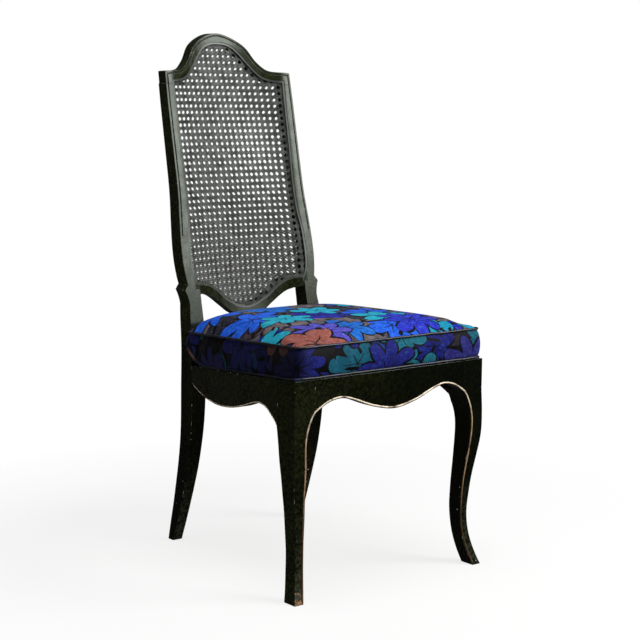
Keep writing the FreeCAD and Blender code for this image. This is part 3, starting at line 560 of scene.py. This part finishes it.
def welt_material():
    """Cord covered in the same velvet, mostly dark with scraps of the print's blues."""
    n = Nodes("welt")
    place = n.place()
    scraps = n.noise(place, 17.0, 1.0)
    base = n.steps(scraps, [(0.0, linear(6, 6, 13)), (0.54, linear(14, 20, 72)), (0.58, linear(8, 9, 20)),
                            (0.68, linear(22, 48, 108)), (0.72, linear(8, 8, 16))])
    fuzz = n.noise(place, 800.0, 2.0)
    base = n.mix(n.times(n.span(fuzz, 0.55, 0.75), 0.25), base, linear(70, 74, 92))
    n.bump(fuzz, strength=0.4, distance=0.3 * MM)
    return n.finish(base, 0.4, Sheen_Weight=0.08, Sheen_Roughness=0.4)


# Woven cane

def smooth_value(table, x):
    """Smooth curve through a table of (x, value) whose first place is its middle line."""
    xs = [row[0] for row in table]
    ys = [row[1] for row in table]
    x = min(abs(x), xs[-1])
    index = 0
    while index < len(xs) - 2 and x > xs[index + 1]:
        index += 1

    def slope(i):
        if i == 0:
            return 0.0
        if i == len(xs) - 1:
            return (ys[i] - ys[i - 1]) / (xs[i] - xs[i - 1])
        return (ys[i + 1] - ys[i - 1]) / (xs[i + 1] - xs[i - 1])

    width = xs[index + 1] - xs[index]
    t = (x - xs[index]) / width
    a = (1 + 2 * t) * (1 - t) ** 2 * ys[index]
    b = t * (1 - t) ** 2 * width * slope(index)
    c = t * t * (3 - 2 * t) * ys[index + 1]
    d = t * t * (t - 1) * width * slope(index + 1)
    return a + b + c + d


def whole(half):
    """A run from the left to the right, from its right half, which starts at the outside."""
    left = [(-x, z) for x, z in half]
    right = [(x, z) for x, z in reversed(half[:-1])]
    return left + right


def opening_runs():
    """The opening's four edges, in turn and anticlockwise: bottom, right, top and left."""
    corner = opening_half_width * opening_side_shares[0][0]
    drop = opening_corner_height - opening_bottom_height
    bottom = whole([(corner * across, opening_corner_height - drop * down)
                    for across, down in opening_bottom_shares])
    side = opening_shoulder_height - opening_corner_height
    right = [(opening_half_width * across, opening_corner_height + side * up)
             for across, up in opening_side_shares]
    rise = opening_top_height - opening_shoulder_height
    top = whole([(opening_half_width * across, opening_shoulder_height + rise * up)
                 for across, up in opening_top_shares])
    top.reverse()
    left = [(-x, z) for x, z in reversed(right)]
    return [bottom, right, top, left]


def rounded(run):
    """A run of points with more points between them on a smooth curve."""
    result = []
    for index in range(len(run) - 1):
        before = Vector(run[max(index - 1, 0)])
        start = Vector(run[index])
        end = Vector(run[index + 1])
        after = Vector(run[min(index + 2, len(run) - 1)])
        for part in range(outline_parts):
            t = part / outline_parts
            point = 0.5 * ((2 * start) + (end - before) * t
                           + (2 * before - 5 * start + 4 * end - after) * t * t
                           + (3 * start - before - 3 * end + after) * t ** 3)
            result.append((point.x, point.y))
    return result


def opening_outline(distance):
    """The cane opening as a closed anticlockwise outline, moved inwards."""
    points = [point for run in opening_runs() for point in rounded(run)]
    moved = []
    for index, (x, z) in enumerate(points):
        before = points[index - 1]
        after = points[(index + 1) % len(points)]
        first = Vector((before[1] - z, x - before[0])).normalized()
        second = Vector((z - after[1], after[0] - x)).normalized()
        mitre = (first + second) * (distance / (1.0 + first.dot(second)))
        moved.append((x + mitre.x, z + mitre.y))
    return moved


def front_face_y(z):
    """Front face of the stiles, through a point that the frame gives."""
    return face_at_base + (z - back_base_height) * math.tan(back_rake)


def height_along(run, x):
    """Height of a run of points at x, or at its nearer end."""
    x = min(max(x, run[0][0]), run[-1][0])
    for (x0, z0), (x1, z1) in zip(run, run[1:]):
        if x <= x1:
            return z0 + (z1 - z0) * (x - x0) / (x1 - x0)
    return run[-1][1]


face_at_base = seat_rear + back_base_setback
outline_runs = opening_runs()
bottom_run = outline_runs[0]
top_run = list(reversed(outline_runs[2]))
cane_border = opening_half_width - rebate_width
edge_sag = back_sag * smooth_value(back_plan_shares, cane_border / sag_half_width)


def cane_y(x, z, offset):
    """The stretched cane: it follows the rails at its edges and is flatter between them."""
    bottom = height_along(bottom_run, x) + rebate_width
    top = height_along(top_run, x) - rebate_width
    up = min(max((z - bottom) / (top - bottom), 0.0), 1.0)
    deep = back_sag * smooth_value(back_plan_shares, x / sag_half_width)
    inward = max(0.0, 1.0 - (x / cane_border) ** 2)
    deep -= cane_flatness * math.sin(math.pi * up) ** 2 * (deep - edge_sag) * inward
    return front_face_y(z) + offset + deep


def crossings(outline, start, along):
    """Where a straight line passes into and out of the outline, as distances along it."""
    across = Vector((-along.y, along.x))
    places = []
    for index in range(len(outline)):
        a = Vector(outline[index - 1]) - start
        b = Vector(outline[index]) - start
        side_a = a.dot(across)
        side_b = b.dot(across)
        if (side_a > 0) != (side_b > 0):
            t = side_a / (side_a - side_b)
            places.append((a + (b - a) * t).dot(along))
    places.sort()
    return list(zip(places[0::2], places[1::2]))


def strand(mesh, outline, start, along, step, lift, offset):
    """One flat strand of cane along a line, clipped to the outline and lifted over and under."""
    weave = mesh.loops.layers.uv["weave"]
    across = Vector((-along.y, along.x))
    for low, high in crossings(outline, start, along):
        first = math.ceil(low / step)
        last = math.floor(high / step)
        places = [low] + [k * step for k in range(first, last + 1)] + [high]
        rows = []
        for place in places:
            middle = start + along * place
            height = lift(middle)
            row = []
            for side, rise in strand_section_shares:
                point = middle + across * (side * strand_width)
                deep = cane_y(point.x, point.y, offset) - height - rise * strand_thickness
                row.append(mesh.verts.new((point.x, deep, point.y)))
            rows.append(row)
        for place, end, row, after in zip(places, places[1:], rows, rows[1:]):
            for k in range(len(row)):
                j = (k + 1) % len(row)
                face = mesh.faces.new((row[k], row[j], after[j], after[k]))
                face.smooth = True
                spots = ((place, k), (place, j), (end, j), (end, k))
                for loop, (far, side) in zip(face.loops, spots):
                    loop[weave].uv = (far, 1.0 if side == 1 else 0.0)


def woven_cane(name, offset, pitch, material):
    """A panel of seven-step cane: pairs up and across, and one strand each way on the diagonals."""
    mesh = bmesh.new()
    mesh.loops.layers.uv.new("weave")
    outline = opening_outline(cane_edge_gap)
    middle = (opening_bottom_height + opening_top_height) / 2
    columns = int(opening_half_width * opening_reach_share / pitch) + 1
    rows = int((opening_top_height - opening_bottom_height) / 2 / pitch) + 2
    step = pitch / strand_steps
    up = Vector((0, 1))
    across = Vector((1, 0))

    def plain(sign):
        def lift(point):
            fine = math.cos(math.pi * (point.x + point.y - middle) / pair_gap)
            return sign * pair_lift * (1 if fine > 0 else -1)
        return lift

    for column in range(-columns, columns + 1):
        for side in (-0.5, 0.5):
            x = (column + 0.5) * pitch + side * pair_gap
            lift = plain(1 if side > 0 else -1)
            strand(mesh, outline, Vector((x, middle)), up, step, lift, offset)
    for row in range(-rows, rows + 1):
        for side in (-0.5, 0.5):
            z = middle + (row + 0.5) * pitch + side * pair_gap
            lift = plain(-1 if side > 0 else 1)
            strand(mesh, outline, Vector((0, z)), across, step, lift, offset)
    reach = columns + rows + 2

    def diagonal(sign):
        def lift(point):
            return -sign * diagonal_lift * math.cos(2 * math.pi * point.x / pitch)
        return lift

    for sign in (1, -1):
        along = Vector((1, sign)).normalized()
        for k in range(-reach, reach + 1):
            start = Vector(((k + 0.5) * pitch, middle))
            strand(mesh, outline, start, along, step * math.sqrt(2), diagonal(sign), offset)
    data = bpy.data.meshes.new(name)
    mesh.to_mesh(data)
    mesh.free()
    data.materials.append(material)
    piece = bpy.data.objects.new(name, data)
    bpy.context.collection.objects.link(piece)
    return piece


# Cushion

def seam_outline(front_half, rear_half, outset, count):
    """Rounded trapezoid of the cushion in plan, as evenly spaced points, and its length all round."""
    front = seat_front + cushion_front_gap - outset
    rear = seat_rear - cushion_rear_gap + min(outset, welt_radius / 2)
    front_x = front_half + outset
    rear_x = rear_half + outset
    corners = [Vector((front_x, front)), Vector((rear_x, rear)),
               Vector((-rear_x, rear)), Vector((-front_x, front))]
    radius = cushion_radius + outset
    dense = []
    for index, corner in enumerate(corners):
        before = (corners[index - 1] - corner).normalized()
        after = (corners[(index + 1) % len(corners)] - corner).normalized()
        half_angle = before.angle(after) / 2
        run = radius / math.tan(half_angle)
        centre = corner + (before + after).normalized() * (radius / math.sin(half_angle))
        first = corner + before * run - centre
        last = corner + after * run - centre
        swing = first.angle_signed(last)
        for part in range(corner_steps + 1):
            turned = Matrix.Rotation(-swing * part / corner_steps, 2) @ first
            dense.append(centre + turned)

    # Each side runs from the middle of one corner to the middle of the next
    middle = corner_steps // 2
    dense = dense[middle:] + dense[:middle]
    side_steps = corner_steps + 1
    points = []
    total = 0.0
    for low in range(0, len(dense), side_steps):
        run = [dense[k % len(dense)] for k in range(low, low + side_steps + 1)]
        lengths = [0.0]
        for a, b in zip(run, run[1:]):
            lengths.append(lengths[-1] + (b - a).length)
        total += lengths[-1]
        place = 0
        for k in range(count):
            target = lengths[-1] * k / count
            while lengths[place + 1] < target:
                place += 1
            t = (target - lengths[place]) / max(lengths[place + 1] - lengths[place], shortest_step)
            points.append(run[place].lerp(run[place + 1], t))
    return points, total


def rear_corner(point):
    """Share from 0 to 1 of how near a place is to one of the two rear corners."""
    corner = Vector((math.copysign(top_rear_half_width, point.x), seat_rear - cushion_rear_gap))
    near = 1.0 - (Vector((point.x, point.y)) - corner).length / corner_reach
    near = min(max(near, 0.0), 1.0)
    return near * near * (3 - 2 * near)


def bottom_seam_z(point):
    """Height of the bottom seam: on the rails, and drawn up at the two rear corners."""
    level = seat_height + welt_radius + welt_lift - seat_slope * (point.y - seat_front)
    return level + corner_lift * rear_corner(point)


def top_seam_z(point):
    return seat_height + cushion_border - crown_slope * (point.y - seat_front)


def crown_height(x, y):
    """Height of the crown over the top seam's plane."""
    front = seat_front
    rear = seat_rear - cushion_rear_gap
    back = min(max((y - front) / (rear - front), 0.0), 1.0)
    half = top_front_half_width + (top_rear_half_width - top_front_half_width) * back
    u = min(abs(x) / half, 1.0)
    v = min(abs(2 * back - 1), 1.0)
    lean = crown_front_share + (crown_rear_share - crown_front_share) * back
    return cushion_crown * lean * ((1 - u ** 4) * (1 - v ** 4)) ** crown_share


def border_ring(up):
    """Ring of the border at a share of the way from the bottom seam to the top one."""
    front_half = bottom_front_half_width * (1 - up) + top_front_half_width * up
    rear_half = bottom_rear_half_width * (1 - up) + top_rear_half_width * up
    swell = math.sin(math.pi * up) ** bulge_power if 0 < up < 1 else 0.0
    points, total = seam_outline(front_half, rear_half, cushion_bulge * swell, side_cells)
    ring = []
    for point in points:
        level = bottom_seam_z(point) * (1 - up) + top_seam_z(point) * up
        side = math.copysign(1.0, point.x) * corner_swell * swell * rear_corner(point)
        ring.append(Vector((point.x + side, point.y, level)))
    return ring, total


def patch(mesh, ring, height):
    """Grid of vertices inside a closed ring of four sides, each side_cells long."""
    n = side_cells
    grid = [[None] * (n + 1) for row in range(n + 1)]
    for k in range(n):
        grid[k][0] = ring[k]
        grid[n][k] = ring[n + k]
        grid[n - k][n] = ring[2 * n + k]
        grid[0][n - k] = ring[3 * n + k]
    for i in range(1, n):
        for j in range(1, n):
            u = i / n
            v = j / n
            across = grid[0][j].co * (1 - u) + grid[n][j].co * u
            along = grid[i][0].co * (1 - v) + grid[i][n].co * v
            ends = (grid[0][0].co * (1 - u) * (1 - v) + grid[n][0].co * u * (1 - v)
                    + grid[0][n].co * (1 - u) * v + grid[n][n].co * u * v)
            point = across + along - ends
            point.z = height(point)
            grid[i][j] = mesh.verts.new(point)
    return grid


def cushion_blank():
    """Closed start shape of the cushion: bottom, border and top, joined along their seams."""
    mesh = bmesh.new()
    cloth = mesh.loops.layers.uv.new("cloth")
    n = side_cells
    rings = []
    total = 0.0
    for row in range(border_rows + 1):
        points, length = border_ring(row / border_rows)
        total = max(total, length)
        rings.append([mesh.verts.new(point) for point in points])

    def flat(vertex):
        return (vertex.co.x, vertex.co.y)

    bottom = patch(mesh, rings[0], lambda p: bottom_seam_z(p) - bottom_dip)
    top = patch(mesh, rings[-1], lambda p: top_seam_z(p) + crown_height(p.x, p.y))
    for grid, turned in ((bottom, True), (top, False)):
        for i in range(n):
            for j in range(n):
                corners = [grid[i][j], grid[i + 1][j], grid[i + 1][j + 1], grid[i][j + 1]]
                if turned:
                    corners.reverse()
                face = mesh.faces.new(corners)
                for loop in face.loops:
                    loop[cloth].uv = flat(loop.vert)
    for row, (lower, upper) in enumerate(zip(rings, rings[1:])):
        for k in range(4 * n):
            j = (k + 1) % (4 * n)
            face = mesh.faces.new((lower[k], lower[j], upper[j], upper[k]))
            places = ((k, row), (k + 1, row), (k + 1, row + 1), (k, row + 1))
            for loop, (a, b) in zip(face.loops, places):
                loop[cloth].uv = (border_start + total * a / (4 * n),
                                  border_level + cushion_border * b / border_rows)
    bmesh.ops.recalc_face_normals(mesh, faces=mesh.faces)
    mesh.verts.index_update()
    held = {vertex.index for ring in (rings[0], rings[-1]) for vertex in ring}
    held |= {vertex.index for column in bottom for vertex in column}
    data = bpy.data.meshes.new("cushion_body")
    mesh.to_mesh(data)
    mesh.free()
    piece = bpy.data.objects.new("cushion_body", data)
    bpy.context.collection.objects.link(piece)
    group = piece.vertex_groups.new(name="held")
    group.add(sorted(held), 1.0, "REPLACE")
    return piece


def applied(piece):
    """The piece's mesh with its modifiers worked in."""
    graph = bpy.context.evaluated_depsgraph_get()
    data = bpy.data.meshes.new_from_object(piece.evaluated_get(graph))
    piece.modifiers.clear()
    piece.data = data
    return piece


def blown_up(piece):
    """Fills the cushion: cloth a little larger than its blank, under pressure, held along its seams."""
    start = [vertex.co.copy() for vertex in piece.data.vertices]
    scene = bpy.context.scene
    modifier = piece.modifiers.new("cloth", "CLOTH")
    settings = modifier.settings
    settings.quality = cloth_quality
    settings.mass = cloth_mass
    settings.use_pressure = True
    settings.uniform_pressure_force = cloth_pressure
    settings.tension_stiffness = cloth_stretch
    settings.compression_stiffness = cloth_stretch
    settings.shear_stiffness = cloth_shear
    settings.bending_stiffness = cloth_bend
    settings.shrink_min = -cloth_slack
    settings.effector_weights.gravity = 0.0
    settings.vertex_group_mass = "held"
    modifier.collision_settings.use_collision = False
    modifier.collision_settings.use_self_collision = False
    for clock in (scene, modifier.point_cache):
        clock.frame_start = 1
        clock.frame_end = swell_frames
    for step in range(1, swell_frames + 1):
        scene.frame_set(step)
        bpy.context.view_layer.update()
    applied(piece)
    largest = 0.0
    for vertex, old in zip(piece.data.vertices, start):
        move = vertex.co - old
        largest = max(largest, move.length)
        if move.length > swell_limit:
            vertex.co = old + move.normalized() * swell_limit
    print("cushion moved by", round(largest / MM, 1), "mm at most before the limit")
    scene.frame_set(1)
    return piece


def cushion(velvet):
    piece = cushion_blank()
    piece = blown_up(piece)
    divide = piece.modifiers.new("divide", "SUBSURF")
    divide.levels = 1
    divide.render_levels = 1
    applied(piece)
    piece.vertex_groups.clear()
    for face in piece.data.polygons:
        face.use_smooth = True
    piece.data.materials.clear()
    piece.data.materials.append(velvet)
    return piece


def tube(name, points, radius, closed, material, jitter):
    """Round cord or line through points, a little uneven as hand work is."""
    curve = bpy.data.curves.new(name, "CURVE")
    curve.dimensions = "3D"
    line = curve.splines.new("POLY")
    line.points.add(len(points) - 1)
    for knot, point in zip(line.points, points):
        knot.co = (point.x, point.y, point.z, 1.0)
        knot.radius = 1.0 + jitter * noise.noise(point * jitter_scale)
    line.use_cyclic_u = closed
    curve.bevel_depth = radius
    curve.bevel_resolution = 3
    curve.use_fill_caps = True
    bent = bpy.data.objects.new(name + "_path", curve)
    bpy.context.collection.objects.link(bent)
    graph = bpy.context.evaluated_depsgraph_get()
    data = bpy.data.meshes.new_from_object(bent.evaluated_get(graph))
    bpy.data.objects.remove(bent)
    for face in data.polygons:
        face.use_smooth = True
    data.materials.clear()
    data.materials.append(material)
    piece = bpy.data.objects.new(name, data)
    bpy.context.collection.objects.link(piece)
    return piece


def welt(name, up, material):
    """Corded seam round the cushion's top or bottom."""
    front_half = (bottom_front_half_width, top_front_half_width)[up]
    rear_half = (bottom_rear_half_width, top_rear_half_width)[up]
    height = (bottom_seam_z, top_seam_z)[up]
    flat = seam_outline(front_half, rear_half, welt_outset_share * welt_radius, welt_cells)[0]
    points = []
    for point in flat:
        place = Vector((point.x, point.y, height(point)))
        sway = noise.noise(place * welt_sway_scale) * welt_sway
        points.append(place + Vector((0.0, 0.0, sway)))
    return tube(name, points, welt_radius, True, material, welt_jitter)


# Gilt lines

def surface_of(name):
    """A piece of the frame as a surface that rays can meet."""
    return BVHTree.FromObject(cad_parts[name], bpy.context.evaluated_depsgraph_get())


def share_at(table, place):
    """Share at a place, straight from row to row of a table."""
    for (a, low), (b, high) in zip(table, table[1:]):
        if place <= b:
            return low + (high - low) * (place - a) / (b - a)
    return table[-1][1]


def gilt_points():
    """Along the front apron's lower edge and down the inner front edge of both front legs."""
    leg = surface_of("front_leg_left")
    rail = surface_of("front_seat_rail")
    ahead = seat_front - front_ray_reach
    edge = []
    for step in range(leg_steps + 1):
        z = gilt_foot_gap + (leg_height - gilt_leg_margin) * step / leg_steps
        x = leg_outer - leg_block_width * share_at(leg_middle_shares, z / leg_height)
        front = leg.ray_cast(Vector((x, ahead, z)), Vector((0, 1, 0)))[0]
        inner = leg.ray_cast(Vector((0.0, front.y + face_skin, z)), Vector((1, 0, 0)))[0]
        edge.append(Vector((inner.x, front.y, z)))
    for step in range(apron_steps + 1):
        x = apron_half * (1 - step / apron_steps)
        front = rail.ray_cast(Vector((x, ahead, seat_height - front_ray_drop)), Vector((0, 1, 0)))[0]
        low = rail.ray_cast(Vector((x, front.y + face_skin, rising_ray_start)), Vector((0, 0, 1)))[0]
        edge.append(Vector((x, front.y, low.z)))
    edge += [Vector((-point.x, point.y, point.z)) for point in reversed(edge[:-1])]
    return edge


def side_gilt_points(name, side):
    """Along the lower edge of one side apron."""
    rail = surface_of(name)
    low_corner, high_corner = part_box(name)
    first = low_corner.y + side_gilt_margin
    last = high_corner.y - side_gilt_margin
    edge = []
    for step in range(apron_steps + 1):
        y = first + (last - first) * step / apron_steps
        level = seat_height - seat_slope * (y - seat_front) - side_ray_drop
        outside = Vector((side * side_ray_start, y, level))
        face = rail.ray_cast(outside, Vector((-side, 0, 0)))[0]
        below = Vector((face.x - side * face_skin, y, rising_ray_start))
        low = rail.ray_cast(below, Vector((0, 0, 1)))[0]
        edge.append(Vector((face.x, y, low.z + side_gilt_inset)))
    return edge


def gilt_line(material):
    """The front line, moved off its edge in the plane of the front."""
    edge = gilt_points()
    points = []
    for index, point in enumerate(edge):
        along = edge[min(index + 1, len(edge) - 1)] - edge[max(index - 1, 0)]
        aside = Vector((along.z, 0.0, -along.x)).normalized()
        points.append(point + aside * gilt_inset)
    return tube("gilt_line", points, gilt_radius, False, material, gilt_jitter)


# Stage

def floor_and_world():
    """Pale floor and white surround for the camera, both much darker in the lacquer's reflections."""
    bpy.ops.mesh.primitive_plane_add(size=floor_size)
    floor = bpy.context.object
    floor.name = "floor"
    n = Nodes("floor")
    place = n.place()
    ray = n.add("ShaderNodeLightPath").outputs
    pale = n.finish(linear(236, 236, 235), 0.9)
    white = n.glow(1.0)
    dim = n.glow(floor_mirrored)
    whiteness = n.span(n.vector("LENGTH", place), *floor_fade, *floor_white_shares)
    clear = n.times(ray["Is Camera Ray"], whiteness)
    join = n.add("ShaderNodeMixShader", {0: clear, 1: n.shader.outputs[0], 2: white})
    shown = n.add("ShaderNodeMixShader", {0: ray["Is Glossy Ray"], 1: join.outputs[0], 2: dim})
    n.tree.links.new(shown.outputs[0], n.end.inputs["Surface"])
    floor.data.materials.append(pale)

    world = bpy.data.worlds.new("studio")
    bpy.context.scene.world = world
    world.use_nodes = True
    tree = world.node_tree
    shade = tree.nodes["Background"]
    shade.inputs["Strength"].default_value = surround_light
    path = tree.nodes.new("ShaderNodeLightPath")
    result = shade.outputs[0]
    for ray_kind, strength in (("Is Glossy Ray", surround_mirrored), ("Is Camera Ray", 1.0)):
        other = tree.nodes.new("ShaderNodeBackground")
        other.inputs["Strength"].default_value = strength
        mix = tree.nodes.new("ShaderNodeMixShader")
        tree.links.new(path.outputs[ray_kind], mix.inputs[0])
        tree.links.new(result, mix.inputs[1])
        tree.links.new(other.outputs[0], mix.inputs[2])
        result = mix.outputs[0]
    for node in tree.nodes:
        if node.bl_idname == "ShaderNodeBackground":
            node.inputs["Color"].default_value = (1.0, 1.0, 1.0, 1.0)
    tree.links.new(result, tree.nodes["World Output"].inputs["Surface"])


def area_light(name, place, target, size, power):
    data = bpy.data.lights.new(name, "AREA")
    data.shape = "SQUARE"
    data.size = size
    data.energy = power
    lamp = bpy.data.objects.new(name, data)
    lamp.location = place
    lamp.rotation_euler = (Vector(target) - Vector(place)).to_track_quat("-Z", "Y").to_euler()
    bpy.context.collection.objects.link(lamp)


def camera():
    """The camera at its fitted place, turned about its own axis by its roll."""
    data = bpy.data.cameras.new("camera")
    data.lens = camera_lens
    data.sensor_width = sensor_width
    data.sensor_fit = "HORIZONTAL"
    data.clip_start = 0.05
    data.clip_end = 100.0
    seer = bpy.data.objects.new("camera", data)
    bpy.context.collection.objects.link(seer)
    back = Vector((math.sin(camera_azimuth) * math.cos(camera_elevation),
                   -math.cos(camera_azimuth) * math.cos(camera_elevation), math.sin(camera_elevation)))
    right = Vector((math.cos(camera_azimuth), math.sin(camera_azimuth), 0.0))
    up = back.cross(right)
    turned_right = right * math.cos(camera_roll) + up * math.sin(camera_roll)
    turned_up = up * math.cos(camera_roll) - right * math.sin(camera_roll)
    pose = Matrix((turned_right, turned_up, back)).transposed().to_4x4()
    pose.translation = camera_place
    seer.matrix_world = pose
    bpy.context.scene.camera = seer


def dress(name, material):
    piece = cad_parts[name]
    piece.data.materials.clear()
    piece.data.materials.append(material)


def main():
    bpy.context.scene.view_settings.view_transform = "Standard"
    camera()
    floor_and_world()
    for lamp in lamps:
        area_light(*lamp)

    lacquer = lacquer_material()
    for name in ("back_post_left", "back_post_right", "crest_rail", "lower_back_rail", "rear_seat_rail",
                 "front_leg_left", "front_leg_right", "front_seat_rail", "side_seat_rail_left",
                 "side_seat_rail_right"):
        dress(name, lacquer)
    beech = wood_material("beech", linear(168, 124, 82), linear(206, 166, 120), (1.0, 0.12, 1.0))
    plywood = wood_material("plywood", linear(176, 140, 98), linear(210, 178, 134), (1.0, 0.1, 1.0), True)
    for name in ("corner_block_front_left", "corner_block_front_right", "corner_block_rear_left",
                 "corner_block_rear_right"):
        dress(name, beech)
    dress("seat_board", plywood)
    steel = steel_material()
    dress("block_screws", steel)
    dress("seat_screws", steel)
    reed = reed_material()
    dress("cane_spline_front", reed)
    dress("cane_spline_rear", reed)

    cane = cane_material()
    front_offset = rebate_depth - cane_middle
    rear_offset = back_rail_thickness - rebate_depth + cane_middle
    for name, offset, pitch in (("cane_front", front_offset, mesh_pitch),
                                ("cane_rear", rear_offset, rear_mesh_pitch)):
        piece = woven_cane(name + "_weave", offset, pitch, cane)
        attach(piece, "root")
        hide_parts(name)

    velvet = velvet_material()
    body = cushion(velvet)
    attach(body, "root")
    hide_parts("seat_cushion")
    cord = welt_material()
    for up, name in enumerate(("cushion_welt_bottom", "cushion_welt_top")):
        piece = welt(name + "_cord", up, cord)
        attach(piece, "root")
        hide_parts(name)

    gilt = gilt_material()
    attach(gilt_line(gilt), "root")
    for name, side in (("side_seat_rail_left", 1), ("side_seat_rail_right", -1)):
        points = side_gilt_points(name, side)
        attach(tube("gilt_" + name, points, side_gilt_radius, False, gilt, gilt_jitter), "root")


main()
